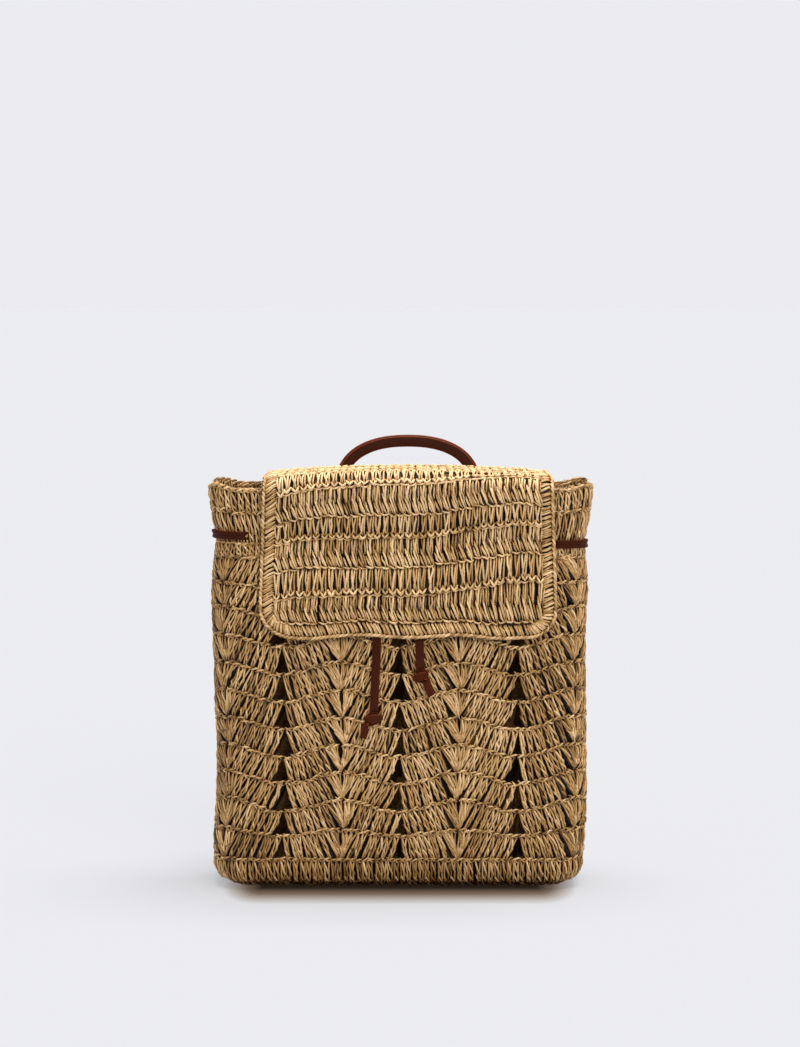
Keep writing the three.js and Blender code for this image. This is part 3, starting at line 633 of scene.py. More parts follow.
def knot(tail, hand, reach, tilt, stub):
    """The lace from the tail's end, one and a third turns round itself on an oval, and out to the
    cut end. A place is given from the middle of the knot: to the right, out to the viewer, and
    up. The hand is -1 where the cut end leaves to the left."""
    start = wall(*tail[-1])
    centre = start + np.array([0.5 * hand, 0.0, -gap - knot_below])
    turn = np.radians(np.linspace(20, 500, 22))
    share = np.linspace(0, 1, 22)
    across = hand * np.sin(turn) * lerp(reach - 1.6, reach, share)
    forward = -np.cos(turn) * lerp(1.5, 2.7, share)
    up = lerp(3.6, -3.2, share) + tilt * across
    oval = np.stack([across, forward, up], axis=1)
    places = np.concatenate([[(0.0, -1.6, 4.2)], oval, stub])
    path = curve(np.concatenate([[start - np.array([0, 0, gap])], centre + places * [1, -1, 1]]), 110)
    # The flat of the lace faces outwards: its width stands up in the turns and lies across in both
    # ends, and it is pinched where it turns back.
    at = np.linspace(0, 1, len(path))
    across_way = smooth(1 - at / 0.1) + smooth((at - 0.86) / 0.08)
    side = np.stack([across_way, np.zeros(len(path)), 1.02 - across_way], axis=1)
    pinch = 0.45 * smooth(np.abs(path[:, 0] - centre[0]) / reach) * (1 - across_way)
    wide = lerp(3.5, 3.0, across_way) * (1 - pinch)
    return flat_band(path, side, wide, 0.95, edge_highlight_tone=0.9, face_tone=0.2, crease=-0.5)


knots = {
    "left": knot(left_tail, -1, 7.6, 0.28, [(-6.2, 2.2, -6.2), (-7.4, 1.8, -10.5), (-8.4, 1.6, -14.5)]),
    "right": knot(right_tail, 1, 6.4, 0.12, [(5.0, 2.2, -6.6), (6.6, 1.8, -10.8), (8.4, 1.6, -14.5)]),
}
print("points in a knot", len(knots["left"]["points"]))

# %% [markdown]
# Only the two ends are free cords: the rest of the lace is held by the eyelets. Each is made
# as a band with its knot.

# %% Free ends
for name, tail in (("left", left_tail), ("right", right_tail)):
    middle, side = lace_on_wall(tail, 60)
    band = flat_band(middle, side, lace_width / 2, lace_thickness / 2, edge_highlight_tone=0.9, crease=0.5)
    body = make_piece("lace_" + name, [band], lace_leather, ["cord_tail_" + name])
    end = make_piece("lace_knot_" + name, [knots[name]], lace_leather, ["knot_" + name])
    eyelet = wall(np.sign(tail[0][0]) * eyelets[0] * girth / 2, tail[0][1], 0.0) * MM

# %% [markdown]
# The held part of the lace goes round the neck, in at one eyelet and out at the next. Only two
# short stretches show, at the front corners, but the whole of it is made, because it passes
# through the cloth there and its ends would show. It is creased along its middle.

# %% The drawcord round the neck
first_run = 46.3  # where the free ends begin, just past the first eyelet
dive = eyelet_width - 5.0  # the way that the lace takes from outside to inside


def drawcord_places():
    """Even steps from the first eyelet round to the back. The distance out swings from inside
    to outside and back, smoothly, over the width of each eyelet."""
    half = girth / 2
    inside = -(cloth + lace_clearance + lace_thickness / 2)
    outside = on_wall(lace_thickness)
    run = np.linspace(first_run, half, 180)
    out = np.full(len(run), inside)
    for i, share in enumerate(eyelets[1:]):
        turn = smooth((run - share * half) / dive + 0.5)
        out += (1 if i % 2 == 0 else -1) * turn * (outside - inside)
    return run, out


run, out = drawcord_places()
run = np.concatenate([run, girth - run[-2::-1]])
out = np.concatenate([out, out[-2::-1]])
middle = wall(run, lace_height(run), out)
upward = wall(run, lace_height(run) + 1, out) - middle
band = flat_band(middle, upward, 3.4, 1.3, sides=14, crease=0.7)
make_piece("drawcord", [band], lace_leather, ["drawcord_round"])

# %% [markdown]
# A double crochet stitch is a post of strands between two chain loops. From the right side it
# shows two legs and a wrap that crosses them. One yarn could be led through every loop, as a
# hand does, but what doesn't show would cost as much as what does. So each kind of stitch is a
# table of the strands that show: how far along the stitch, how far across it and how far out
# each point lies. An inner post behind them closes the cloth.

# %% Strands of a stitch
def strand(along, across, out, wide=0.85, thick=0.75, sides=5, tone=0.62, ref="across", faces=1):
    """One strand of a stitch, as columns of places. It faces outwards (1), into the bag (-1), or
    both ways (0)."""
    return {"along": np.array(along), "across": np.array(across), "out": np.array(out), "wide": wide,
            "thick": thick, "sides": sides, "tone": tone, "ref": ref, "faces": faces}


# The inner post is painted dark, and darkest on the face seen through the gaps, as painted shade behind the
# front strands.
INNER = strand([-0.06, 0.3, 0.7, 1.06], [0.0, 0.0, 0.0, 0.0], [-1.2, -1.4, -1.4, -1.2],
               wide=0.0, thick=0.6, sides=4, tone=0.3, faces=-1)
ROUND_STITCH = [
    strand([-0.12, 0.06, 0.3, 0.55, 0.8, 1.0], [-0.2, -0.9, -1.3, -1.1, -1.6, -2.3],
           [-0.8, 1.0, 1.5, 1.4, 1.2, 0.0]),
    strand([-0.1, 0.08, 0.32, 0.58, 0.82, 1.02], [0.7, 1.2, 1.3, 1.0, 1.5, 2.3],
           [-0.8, 0.8, 1.2, 1.1, 1.0, 0.0]),
    strand([1.0, 0.86, 0.68, 0.5, 0.34], [-1.6, -1.0, 0.2, 1.5, 2.2], [0.2, 1.7, 2.2, 1.8, 0.2], wide=0.9),
    strand([0.45, 0.34, 0.2, 0.06], [-2.1, -1.1, 0.5, 1.6], [0.2, 1.9, 2.0, 0.2]),
    strand([0.93, 1.0, 1.05, 1.04], [-3.4, -1.2, 1.2, 3.4], [0.2, 1.6, 1.8, 0.2], wide=0.9, ref="along"),
    strand([1.08, 1.03, 0.95, 0.92], [-2.6, -0.9, 0.9, 2.6], [0.1, 1.2, 1.3, 0.1], wide=0.75, ref="along"),
    INNER,
]
RIM_CHAIN = [
    strand([0.0, 0.5, 0.9, 1.2], [-3.6, -1.2, 1.2, 3.6], [0.4, 1.3, 1.2, -0.2], wide=1.1, sides=6,
           ref="along", faces=0),
    strand([1.1, 1.1, 0.9, 0.7], [-3.6, -1.2, 1.2, 3.6], [-0.2, -0.6, -0.8, -0.2], wide=1.3, thick=1.2,
           sides=6, ref="along", faces=0),
    strand([0.7, 0.4, 0.0, -0.1], [-3.6, -1.2, 1.2, 3.6], [-1.2, -1.9, -1.9, -1.2], wide=1.1,
           ref="along", faces=0),
]
# The wrong side of the cloth shows inside the rim only.
WRONG_SIDE = [
    strand([0.0, 0.3, 0.6, 1.0], [-1.9, -1.4, -1.5, -1.0], [-1.9, -2.4, -2.4, -1.9], wide=0.95,
           thick=0.5, tone=0.55, faces=-1),
    strand([0.0, 0.3, 0.6, 1.0], [0.6, 1.2, 1.0, 1.7], [-1.9, -2.4, -2.4, -1.9], wide=0.95,
           thick=0.5, tone=0.55, faces=-1),
]
print("strands in a round's stitch", len(ROUND_STITCH))

# %% [markdown]
# Copies of one stitch would look knitted by a machine. So all stitches of a round are worked out
# at once, between a foot and a head of their own, and chance moves each strand a little, in
# place, width and tone. What lies deeper is painted darker, as painted shade, and what stands
# out furthest a little lighter, as painted light.

# %% Stitches
# Painted shade: the tone of outward strands falls with each mm of depth, where less light reaches.
depth_shade = 0.19  # how much the tone falls for each mm of depth
inner_share, free_share = 1.95, 1.3  # an inner post's width for each mm of room, and beside a gap
nearer_most = 1.7  # the further neighbour counts up to this many times the nearer one
moves_along, moves_out, size_varies = 0.02, 0.12, 0.09  # how far chance moves a whole strand


def room_beside(places, free):
    """Half the way to a neighbour, for stitches in their order: to the nearer one where the
    stitch stands free beside a gap, and else to the further one, within the limit above."""
    step = np.abs(np.diff(places))
    before, after = np.append(step[0], step), np.append(step, step[-1])
    nearer, further = np.minimum(before, after), np.maximum(before, after)
    room = np.where(free, nearer, np.minimum(further, nearer_most * nearer)) / 2
    return np.clip(room, 0.9, 3.4)[:, None]


def stitches(surface, foot, head, slope, table, jitter=0.25, spread=1.0, shift=0.0, shade=0.0, bow=0.0):
    """Strands for n stitches. A point of a strand lies on the line from the stitch's foot to
    its head, moved across it along the round's own slope, and out. A spread below one draws the
    foot together, and a bow bends the stitch sideways by a half sine. The inner post is as wide
    as the room beside it."""
    n = len(foot)
    own = chance.normal(0, 0.07, n)
    parts = []
    for s in table:
        k = len(s["along"])
        t = s["along"][None, :] + chance.normal(0, moves_along, (n, 1)) + chance.normal(0, 0.012, (n, k))
        share = np.clip(t, 0, 1)
        spread_here = lerp(np.broadcast_to(spread, n)[:, None], 1.0, share)
        q = s["across"][None, :] * spread_here + chance.normal(0, jitter, (n, 1))
        q = q + chance.normal(0, jitter * 0.8, (n, k))
        a = lerp(foot[:, :1], head[:, :1], t) + q + np.broadcast_to(bow, n)[:, None] * np.sin(np.pi * share)
        b = lerp(foot[:, 1:], head[:, 1:], t) + q * slope[:, None]
        o = s["out"][None, :] + shift + chance.normal(0, moves_out, (n, 1))
        o = o + chance.normal(0, moves_out, (n, k))
        middle = surface(a, b, o)
        if s["ref"] == "across":
            side = surface(a + 0.5, b, o) - middle
        else:
            side = surface(a, b + 0.5, o) - middle
        size = 1 + chance.normal(0, size_varies, (n, 1))
        taper = np.ones(k)
        taper[[0, -1]] = 0.6
        outward = (surface(a, b, o + 0.5) - middle) * s["faces"]
        # A painted shade for a whole round lowers the tone of all its strands, or raises it as painted
        # light where it is negative.
        tone = s["tone"] + (own + chance.normal(0, 0.12, n) - shade)[:, None]
        # Painted shade by depth, and a little painted light where a strand stands out furthest.
        if s["faces"] == 1:
            tone = tone + depth_shade * np.clip(o - shift - 1.2, -1.8, 0.6)
        if s is INNER:
            free = np.broadcast_to(bow, n) != 0
            room = lerp(room_beside(foot[:, 0], free), room_beside(head[:, 0], free), share)
            wide = np.where(free, free_share, inner_share)[:, None] * room
        else:
            wide = s["wide"] * size * taper
        parts.append(tubes(middle, side, wide, s["thick"] * size * taper, s["sides"], tone, outward))
    return parts


def ring_of_stitches(surface, low, high, count, lean, table, **more):
    """Straight stitches side by side all round, between two lines that follow the run."""
    run = (np.arange(count) + 0.5) / count * girth
    moved = chance.normal(0, lean, (2, count))
    feet = np.stack([run + moved[0], low(run)], axis=1)
    heads = np.stack([run + moved[1], high(run)], axis=1)
    return stitches(surface, feet, heads, np.zeros(count), table, **more)


print("room beside stitches 5 mm apart", room_beside(np.arange(3) * 5.0, False).ravel())

# %% [markdown]
# The openwork: eight repeats of twenty stitches. In each repeat seven stitches lean left, six
# spread from one foot as a fan, and seven lean right. Between two repeats the leaning stitches
# meet at their heads and stand apart at their feet, which leaves the pointed gap. The gaps could
# be cut from a plain cloth, but the strands at their edges would be cut too.

# %% Openwork
stitches_each, fan_start, fan_end = 20, 7, 13  # stitches in a repeat, and which of them make the fan
pattern_width, fan_foot = 97.0, 48.4  # the widths below are for a repeat of 97 mm
half_gap, gap_varies, back_closer, eye = 9.6, 1.2, 4.0, 1.3
left_inset, left_stop, left_stop_back = 1.4, 39.6, 41.4  # from the gap's edge, and where the feet stop
right_start, right_inset, fan_step = 54.6, 1.2, 0.5
head_push, post_bow = 1.2, 0.9  # the first heads stand further on, and the posts at a gap are bowed
foot_above, fan_above, head_below = 0.8, 1.2, 0.2
# Beyond side_from the openwork is painted darker towards the sides, as painted shade where the body turns
# away from the light.
side_from, painted_side_shade = 90.0, 0.08  # the straw is a little darker beyond this, towards the sides


def openwork_round(row):
    """The stitches of one round: their heads at even steps, their feet gathered as above."""
    i = np.tile(np.arange(stitches_each), repeats)
    start = np.repeat(np.arange(repeats), stitches_each) * repeat_run
    place = np.repeat(chance.normal(0, 1.0, repeats), stitches_each)
    # The gaps are drawn closer at the back, where nothing is known of them.
    front = np.cos(2 * np.pi * (start + repeat_run / 2) / girth) > 0
    opening = np.repeat(half_gap + chance.normal(0, gap_varies, repeats), stitches_each)
    opening = opening - np.where(front, 0.0, back_closer)
    # The two middle heads of a fan stand apart, which leaves the eye under the next fan.
    apart = np.where(i == 9, -eye, 0) + np.where(i == 10, eye, 0)
    head = (i + 0.5) / stitches_each * repeat_run + head_push * np.exp(-(i / 3.0) ** 2) + apart
    left_end = np.where(front, left_stop, left_stop_back)
    left = lerp(opening - left_inset, left_end, i / (fan_start - 1))
    fan = fan_foot + (i - 9.5) * fan_step
    right = lerp(right_start, pattern_width - opening - right_inset, (i - fan_end) / (fan_start - 1))
    foot = np.where(i < fan_start, left, np.where(i < fan_end, fan, right)) * repeat_run / pattern_width
    run_foot, run_head = run_at(start + foot + place), run_at(start + head + place * 0.5)
    in_fan = (i >= fan_start) & (i < fan_end)
    foot_height = round_height(row, run_foot) + foot_above + np.where(in_fan, fan_above, 0.0)
    head_height = round_height(row + 1, run_head) - head_below
    wobble = chance.normal(0, 0.45, (4, len(i)))
    feet = np.stack([run_foot + wobble[0], foot_height + wobble[1]], axis=1)
    heads = np.stack([run_head + wobble[2], head_height + wobble[3]], axis=1)
    slope = (round_height(row + 0.5, run_head + 1) - round_height(row + 0.5, run_head - 1)) / 2
    spread = np.where(in_fan, 0.4, 0.85)
    bow = (np.where(i == 0, -post_bow, 0) + np.where(i == stitches_each - 1, post_bow, 0)) * front
    # Painted shade: all the openwork a little darker than the flap, and more towards the sides.
    shade = 0.07 + painted_side_shade * smooth((np.abs(plan(run_foot)[0]) - side_from) / 40)
    return stitches(wall, feet, heads, slope, ROUND_STITCH, spread=spread, bow=bow, shade=shade)


for name, rows in (("low", range(0, 4)), ("middle", range(4, 8)), ("top", range(8, 11))):
    parts = sum((openwork_round(row) for row in rows), [])
    make_piece("openwork_" + name, parts, straw, ["openwork_wall"])

# %% [markdown]
# The neck: three plain rounds of straight stitches, a short one, the one that holds the lace,
# and a tall one up to the rim. It could end in open loops, but the real rim is a closed chain
# that shows from both sides, so a chain follows it, and the wrong side of the stitches is made
# where one looks in over the rim.

# %% Neck
neck_count = 150


def neck_line(share):
    """A height in the neck: a share of the way from the openwork to the rim."""
    return lambda run: lerp(openwork_top, rim_height(run), share)


neck = []
# Painted shade: the neck's rounds are painted a little darker.
for low, high in ((0.0, 0.2), (0.2, 0.65), (0.65, 0.97)):
    neck += ring_of_stitches(wall, neck_line(low), neck_line(high), neck_count, 0.4, ROUND_STITCH,
                             shade=0.06)
neck += ring_of_stitches(wall, neck_line(0.5), neck_line(0.97), neck_count, 0.4, WRONG_SIDE)
neck += ring_of_stitches(wall, neck_line(0.94), neck_line(0.99), neck_count, 0.4, RIM_CHAIN, jitter=0.15)
make_piece("neck", neck, straw, ["neck_band"])

# %% [markdown]
# The base is a flat panel, and its rounded edge turns up into a plain band of straight posts.
# The band could be more rounds of the wall, but they would stop at the floor with a sharp edge,
# so it has a surface of its own, which turns under. The row that turns under is painted dark, as
# painted shade, the band above it a little darker too, and the underside is crocheted in
# straight rows.

# %% Base
end_cut = 7.0  # how much further the foot steps in at the two ends
turn_end, hem_end = 14.0, 36.2  # where the rows of the foot end, from the floor along the cloth
under_half_width, under_half_depth = 128.0, 37.0


def foot_wall(run, along, out):
    """The rounded edge and the hem: along is the length up from the floor. On the quarter turn
    the height is the radius less its cosine, and the wall steps in by the radius less its sine,
    and a little more at the two ends."""
    run, along, out = np.broadcast_arrays(run, along, out)
    turn = np.clip(along / foot_radius, 0, np.pi / 2)
    radius = foot_radius - cloth + out
    straight = np.maximum(along - foot_radius * np.pi / 2, 0)
    height = foot_radius - radius * np.cos(turn) + straight
    inwards = foot_radius - cloth - radius * np.sin(turn)
    inwards += end_cut * smooth((np.abs(plan(run)[0]) / half_width - 0.8) / 0.2) * (1 - np.sin(turn))
    return wall(run, height, -inwards)


def under(x, y, out):
    """The flat of the base: x and y as they are, and out is down."""
    x, y, out = np.broadcast_arrays(x, y, out)
    return np.stack([x, -y, cloth - out], axis=-1)


def level(height):
    """A line of one height."""
    return lambda run: np.full(len(run), height)


def under_rows(count, rows):
    """Straight rows across the flat of the base."""
    x, row = np.meshgrid(np.linspace(-under_half_width, under_half_width, count), np.arange(rows))
    step = 2 * under_half_depth / rows
    low = -under_half_depth + row.ravel() * step
    feet = np.stack([x.ravel(), low], axis=1)
    heads = np.stack([x.ravel(), low + step], axis=1)
    return stitches(under, feet, heads, np.zeros(len(feet)), ROUND_STITCH, shift=-2.0)


# Painted shade: the row that turns under is painted much darker, and the band above it a little.
base = ring_of_stitches(foot_wall, level(1.0), level(turn_end), 140, 0.5, ROUND_STITCH,
                        shift=-1.8, shade=0.45)
base += ring_of_stitches(foot_wall, level(turn_end), level(hem_end), 150, 0.5, ROUND_STITCH, shade=0.12)
base += under_rows(42, 4)
make_piece("base", base, straw, ["base_panel"])

# %% [markdown]
# The flap is worked in rows that turn at each end, so rows of crossed wraps and rows of straight
# posts take turns. One stitch for all rows would be less work, but the photo shows both kinds
# clearly, so each has its table.

# %% The flap's two stitches
WRAPPED = [
    strand([-0.04, 0.1, 0.3, 0.46, 0.58], [0.4, 0.2, -0.3, -0.4, 0.2], [0.0, 1.6, 1.9, 1.5, 0.2],
           wide=0.95, sides=6),
    strand([0.0, 0.14, 0.32, 0.48], [-1.9, -1.9, -1.7, -1.2], [-0.1, 1.1, 1.2, 0.2], wide=0.8),
    strand([0.02, 0.2, 0.4, 0.55], [2.2, 2.1, 1.9, 2.2], [-0.2, 0.9, 0.9, 0.0], wide=0.75),
    strand([0.36, 0.5, 0.68, 0.86, 1.0], [-2.5, -1.7, -0.2, 1.5, 2.6], [0.1, 1.6, 2.2, 1.8, 0.2],
           wide=0.95, sides=6),
    strand([0.58, 0.7, 0.84, 0.98], [-3.1, -2.2, -0.8, 0.9], [0.0, 1.4, 1.9, 0.4], wide=0.9),
    strand([0.46, 0.62, 0.8, 0.96], [0.4, 1.4, 2.6, 3.6], [0.0, 0.9, 1.1, 0.2], wide=0.8),
    strand([0.94, 1.0, 1.03, 1.0], [-3.6, -1.2, 1.2, 3.6], [0.5, 1.6, 1.6, 0.5], ref="along"),
    INNER,
]
STRAIGHT = [
    strand([-0.02, 0.14, 0.4, 0.66, 0.88], [-1.7, -1.9, -1.6, -0.9, 0.5], [-0.1, 1.4, 1.6, 1.4, 0.2],
           sides=6),
    strand([0.0, 0.16, 0.42, 0.68, 0.9], [1.2, 0.9, 0.2, -0.5, -1.6], [0.0, 1.7, 1.9, 2.0, 0.2], sides=6),
    strand([-0.01, 0.12, 0.42, 0.7, 0.92], [2.6, 2.4, 1.9, 1.6, 1.8], [-0.1, 1.1, 1.2, 1.0, 0.0],
           wide=0.75),
    strand([0.78, 0.92, 1.0, 0.93, 0.8], [-2.9, -1.5, 0.0, 1.5, 2.9], [0.3, 2.1, 2.4, 2.1, 0.3],
           wide=1.1, thick=1.0, sides=6, tone=0.66, ref="along"),
    strand([1.0, 1.05, 1.05, 1.0], [-3.4, -1.0, 1.0, 3.4], [0.4, 1.5, 1.6, 0.4], wide=0.95, ref="along"),
    INNER,
]
print("strands in the flap's stitches", len(WRAPPED), len(STRAIGHT))

# %% [markdown]
# The rows of the flap aren't level: they climb by 13 mm towards the right in the photo, as hand
# work does. A turned picture of level rows would turn the border too, so only the line on which
# a row stands is bent. The straw is painted paler at the bend over the mouth, where the light
# from above falls most, as painted light.

# %% Rows of the flap
flap_ends = np.array([1.0, 20, 40, 60, 80, 100, 117.5, 139.5, 155.5, 178.0, 200.0, 221.5])
right_climb, climb_width, left_fall, fall_from, fall_width = 13.0, 105, 4.0, 85, 25
climb_from, climb_over = 60.0, 50.0  # the rows bend more and more from here on
# The rows over the mouth, up to a distance along the flap, get a higher tone: painted light.
stitch_width, painted_light, painted_light_until = 6.1, 0.2, 90.0


def flap_line(way, across):
    """Where a row's line runs: up towards the right, less so over the mouth and at the edge."""
    climb = smooth(across / climb_width) * right_climb
    climb = climb - left_fall * smooth((-across - fall_from) / fall_width)
    share = smooth((way - climb_from) / climb_over) * smooth((flap_length - 8 - way) / 30)
    return way - climb * share


def flap_rows():
    """Every row's stitches, between two lines, inside the border."""
    parts = []
    for i, (low, high) in enumerate(zip(flap_ends[:-1], flap_ends[1:])):
        half = flap_half((low + high) / 2, edging - 1.0)
        count = int(2 * half / stitch_width)
        across = (np.arange(count) + 0.5) / count * 2 * half - half
        lean = chance.normal(0, 0.35, (2, count))
        feet = np.stack([across + lean[0], flap_line(low, across)], axis=1)
        heads = np.stack([across + lean[1], flap_line(high, across)], axis=1)
        slope = (flap_line(low, across + 1) - flap_line(low, across - 1)) / 2
        table = STRAIGHT if i % 2 == 1 else WRAPPED
        # Painted light: a negative painted shade lightens the rows over the mouth.
        shade = -painted_light * (1 - smooth((low - painted_light_until) / 50))
        parts += stitches(flap, feet, heads, slope, table, jitter=0.32, shade=shade)
    return parts


make_piece("flap_rows", flap_rows(), straw, ["flap"])

# %% [markdown]
# The flap's border: short slanted stitches round its three free sides, and a twisted chain
# along the very edge. Straight strips would meet in mitres at the corners, so the border has a
# surface of its own that goes round them.

# %% Flap border
border_start = flap_length - flap_corner
border_half = flap_half(border_start, flap_corner)
corner_way = np.pi / 2 * flap_corner
border_stitch = 3.7
border_knots = np.cumsum([0, border_start, corner_way, 2 * border_half, corner_way, border_start])


def border(way, inset, out):
    """A place in the border: the line of the corner centres plus the corner's radius, less the
    inset, along the outward direction, which turns at the two corners only."""
    turn = np.interp(way, border_knots, np.radians([0, 0, 90, 90, 180, 180]))
    top = flap_half(0.0, flap_corner)
    across = np.interp(way, border_knots, [top, border_half, border_half, -border_half, -border_half, -top])
    along = np.interp(way, border_knots, [0, border_start, border_start, border_start, border_start, 0])
    reach = flap_corner - inset
    return flap(across + reach * np.cos(turn), along + reach * np.sin(turn), out)


EDGE_STITCH = [
    strand([0.0, 0.15, 0.5, 0.85, 1.0], [2.2, 1.9, 0.2, -1.5, -1.9], [-0.2, 1.2, 1.8, 1.3, 0.0],
           wide=0.95, sides=6),
    strand([0.02, 0.2, 0.5, 0.8, 1.0], [0.4, 0.2, -1.2, -2.4, -3.0], [-0.2, 0.9, 1.4, 1.0, -0.1]),
    INNER,
]
EDGE_CHAIN = [
    strand([0.1, 0.4, 0.8, 1.1], [-3.4, -1.2, 1.2, 3.4], [-0.6, 1.3, 1.5, -0.2], wide=1.1, thick=0.95,
           sides=6, ref="along"),
    strand([1.1, 0.8, 0.4, 0.1], [-3.4, -1.2, 1.2, 3.4], [0.2, -0.8, -0.9, 0.2], wide=1.1, thick=0.95,
           sides=6, ref="along"),
]


def border_stitches():
    """Stitches from the inner line of the border to its edge, and the chain on the edge."""
    length = border_knots[-1]
    count = int(length / border_stitch)
    way = (np.arange(count) + 0.5) / count * length
    flat = np.zeros(count)
    feet, heads = np.stack([way, flat + edging], axis=1), np.stack([way, flat + 2.6], axis=1)
    parts = stitches(border, feet, heads, flat, EDGE_STITCH, jitter=0.4)
    feet, heads = np.stack([way, flat + 3.0], axis=1), np.stack([way, flat + 0.6], axis=1)
    return parts + stitches(border, feet, heads, flat, EDGE_CHAIN, jitter=0.1)


make_piece("flap_border", border_stitches(), straw, ["flap_edging"])

# %% [markdown]
# The handle is a strip of leather folded round a core and sewn near its outer edge. It rises
# from two flat tabs on the back. Tabs and arch could be three pieces, but the real strip is one,
# so one band follows the arch, and from tab to fold it gets narrower and thicker. A thin tube
# along its outer edge is the seam.

# %% Handle
handle_span, handle_rise, handle_drop, handle_shift = 121.0, 42.0, 3.2, 7.0
handle_width, handle_thickness, tab_width, tab_thickness, tab_drop = 9.5, 5.0, 20.0, 3.0, 31.0
arch_power, flare = 2.3, 1.07  # the superellipse's exponent, and how much the sewn edges stand out


def handle_line():
    """Up one tab, over a superellipse, and down the other tab: cosine and sine of the angle to
    the power of two over the exponent."""
    spring = body_height - handle_drop
    half, lift = (handle_span - handle_width) / 2, handle_rise - handle_width / 2
    angle = np.pi * (1 - np.linspace(0, 1, 61))
    c, s = np.cos(angle), np.maximum(np.sin(angle), 0)
    x = np.sign(c) * half * np.abs(c) ** (2 / arch_power)
    z = spring + lift * s ** (2 / arch_power)
    low = np.linspace(body_height - tab_drop, spring, 12, endpoint=False)
    x = np.concatenate([np.full(12, -half), x, np.full(12, half)]) + handle_shift
    z = np.concatenate([low, z, low[::-1]])
    folded = smooth((z - spring + handle_width) / (2 * handle_width))
    thick = lerp(tab_thickness, handle_thickness, folded)
    y = wall(girth / 2 - x, np.minimum(z, body_height), on_wall(thick))[:, 1]
    return np.stack([x, y, z], axis=1), lerp(tab_width, handle_width, folded), thick


line, width, thick = handle_line()
forward = np.tile([0.0, -1.0, 0.0], (len(line), 1))
side = np.cross(forward, unit(np.gradient(line, axis=0)))
band = flat_band(line, side, flare * width / 2, thick / 2, sides=20, edge_highlight_tone=0.8, face_tone=0.05)
seam_path = line + unit(side) * (0.7 * width / 2)[:, None] + forward * (0.97 * thick / 2)[:, None]
# The seam takes a high tone, the edge colour: a painted highlight along the outer edge.
seam = tubes(seam_path[None, 10:-10], side[None, 10:-10], 0.45, 0.35, 6, [0.9])
make_piece("handle_arch", [band, seam], handle_leather, ["handle"])

# %% [markdown]
# The shoulder straps aren't shown. Real ones would bend under their own weight, but leather of
# this thickness holds a soft bow when nobody wears it. So they are plain bands, sewn on at both
# ends, that stand out from the back by a power of a sine.

# %% Straps
strap_width, strap_thickness, strap_bow, strap_sewn = 22.0, 2.6, 88.0, 30.0
strap_top, strap_foot = (54.0 / 2, body_height - 35.2), (232.0 / 2, 34.0)


def strap(sign):
    """A straight line down and out on the back; between its sewn ends it stands out by a sine
    to the power 1.25."""
    chord = np.hypot(strap_foot[0] - strap_top[0], strap_foot[1] - strap_top[1])
    sewn = strap_sewn / chord
    t = np.concatenate([np.linspace(0, sewn, 6, endpoint=False), np.linspace(sewn, 1 - sewn, 60),
                        np.linspace(1 - sewn, 1, 7)[1:]])
    x, z = sign * lerp(strap_top[0], strap_foot[0], t), lerp(strap_top[1], strap_foot[1], t)
    bow = strap_bow * np.sin(np.pi * np.clip((t - sewn) / (1 - 2 * sewn), 0, 1)) ** 1.25
    y = wall(girth / 2 - x, z, on_wall(strap_thickness) + 2 * gap + bow)[:, 1]
    path = np.stack([x, y, z], axis=1)
    side = np.cross([0.0, 1.0, 0.0], unit(np.gradient(path, axis=0)))
    return flat_band(path, side, strap_width / 2, strap_thickness / 2, sides=16)


for name, sign in (("left", -1), ("right", 1)):
    make_piece("strap_" + name, [strap(sign)], strap_leather,
               ["shoulder_strap_" + name])

# %% [markdown]
# The picture is a studio shot on a pale ground that fades into a pale wall of the same tone.
# Lights alone would shade the ground unevenly, so half of its light is its own. The shadow at
# the foot is short, dark and brown, which soft lights don't give either. So it is painted: the
# ground's colour falls towards the rectangle that the bag stands on.

# %% Ground and backdrop
backdrop, ground_colour = srgb(236, 236, 240), (0.435, 0.449, 0.487)
stand, shadow_reach = (0.112, 0.045, 0.0), 0.08  # half the rectangle, and the shadow's reach, in metres
foot_shadow = [(0.0, (0.045, 0.03, 0.02, 1)), (0.38, (0.31, 0.225, 0.16, 1)),
               (0.65, (0.64, 0.56, 0.49, 1)), (1.0, (1, 1, 1, 1))]


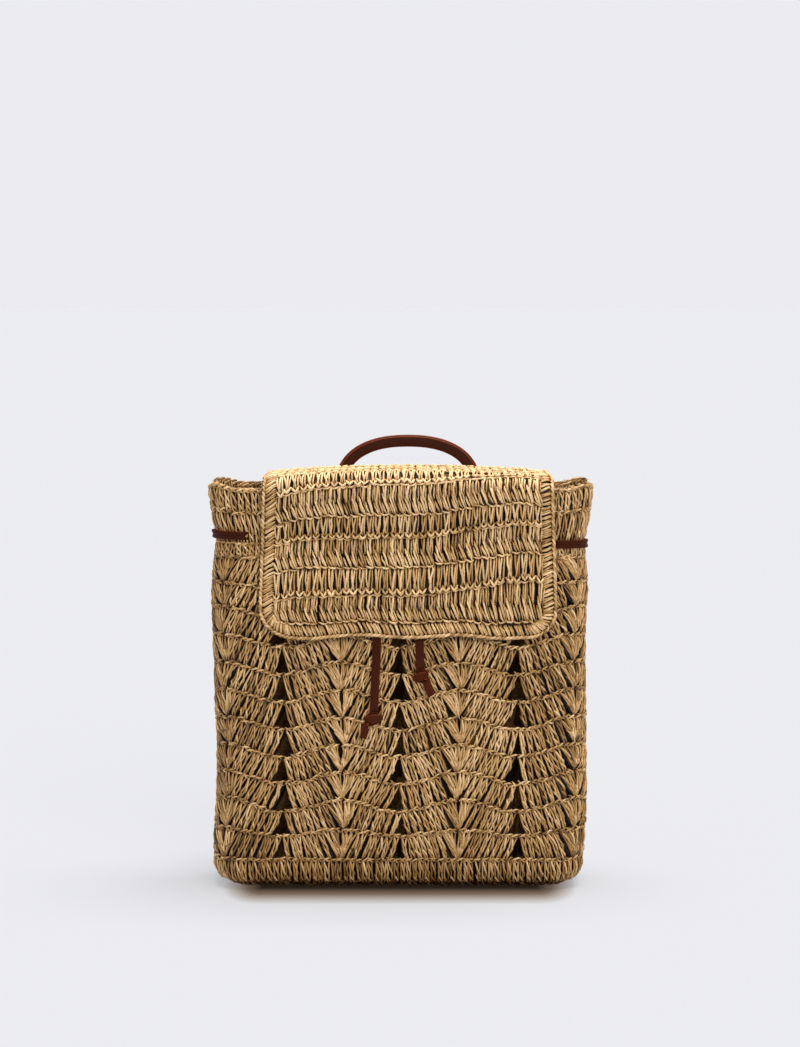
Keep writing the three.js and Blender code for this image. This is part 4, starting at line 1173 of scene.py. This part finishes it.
def stage_material(name, share, shadow):
    """A share of the light is its own, and the rest takes shadows. Both are multiplied by a
    shadow colour. It depends on the distance from the rectangle: the length of what is left of
    the place's size when half the rectangle is taken off, with the sides counted 2.5 times."""
    material, shader, node, join = new_material(name, 1.0, 0.0)
    socket = node("ShaderNodeNewGeometry").outputs["Position"]
    for operation, operand in (("ABSOLUTE", None), ("SUBTRACT", stand), ("MAXIMUM", (0.0, 0.0, 0.0)),
                               ("MULTIPLY", (2.5, 1.0, 0.0)), ("LENGTH", None)):
        step = node("ShaderNodeVectorMath", operation=operation)
        join(socket, step.inputs[0])
        if operand:
            step.inputs[1].default_value = operand
        socket = step.outputs["Value" if operation == "LENGTH" else "Vector"]
    span = node("ShaderNodeMapRange", **{"From Max": shadow_reach})
    join(socket, span.inputs["Value"])
    ramp = colour_ramp(node, shadow)
    join(span.outputs["Result"], ramp.inputs["Fac"])
    own = node("ShaderNodeEmission")
    for colour, target in ((ground_colour, shader.inputs["Base Color"]),
                           (backdrop[:3], own.inputs["Color"])):
        product = node("ShaderNodeVectorMath", operation="MULTIPLY")
        join(ramp.outputs["Color"], product.inputs[0])
        product.inputs[1].default_value = colour
        join(product.outputs["Vector"], target)
    mix = node("ShaderNodeMixShader", Fac=share)
    join(shader.outputs["BSDF"], mix.inputs[1])
    join(own.outputs["Emission"], mix.inputs[2])
    join(mix.outputs["Shader"], material.node_tree.nodes["Material Output"].inputs["Surface"])
    return material


def stage_plane(name, corners, material):
    """A flat sheet through four corners."""
    mesh = bpy.data.meshes.new(name)
    mesh.from_pydata(corners, [], [(0, 1, 2, 3)])
    mesh.materials.append(material)
    obj = bpy.data.objects.new(name, mesh)
    scene.collection.objects.link(obj)
    return obj


stage_plane("ground", [(-40, -40, 0), (40, -40, 0), (40, 40, 0), (-40, 40, 0)],
            stage_material("ground", 0.5, foot_shadow))
far_wall = stage_plane("backdrop", [(-40, 40, 0), (40, 40, 0), (40, 40, 12), (-40, 40, 12)],
                       stage_material("backdrop", 1.0, [(0.0, (1, 1, 1, 1))]))
far_wall.visible_diffuse = False
far_wall.visible_shadow = False
print("ground and", far_wall.name)

# %% [markdown]
# The key light comes from above and a little from the right, and it is soft; a weaker one from
# the front opens the shadows. Area lights would fall off over the ground, so both are suns with
# a wide angle, and a warm sky fills in.

# %% Light
def sun(name, energy, angle, direction, colour=(1, 1, 1)):
    """A light without falloff, so that the ground stays even. direction is where it shines from."""
    data = bpy.data.lights.new(name, "SUN")
    data.energy = energy
    data.angle = np.radians(angle)
    data.color = colour
    obj = bpy.data.objects.new(name, data)
    scene.collection.objects.link(obj)
    x, y, z = direction
    obj.rotation_euler = (np.arctan2(np.hypot(x, y), z), 0.0, np.arctan2(x, -y))


sun("above", 4.8, 50, (0.12, 0.12, 1.0), (1.0, 0.98, 0.95))
sun("front", 1.2, 28, (0.25, -1.0, 0.55), (1.0, 0.97, 0.93))
world = bpy.data.worlds.new("world")
world.use_nodes = True
sky = world.node_tree.nodes["Background"]
sky.inputs["Color"].default_value = (1.0, 0.94, 0.86, 1)
sky.inputs["Strength"].default_value = 0.25
scene.world = world
scene.view_settings.view_transform = "Standard"
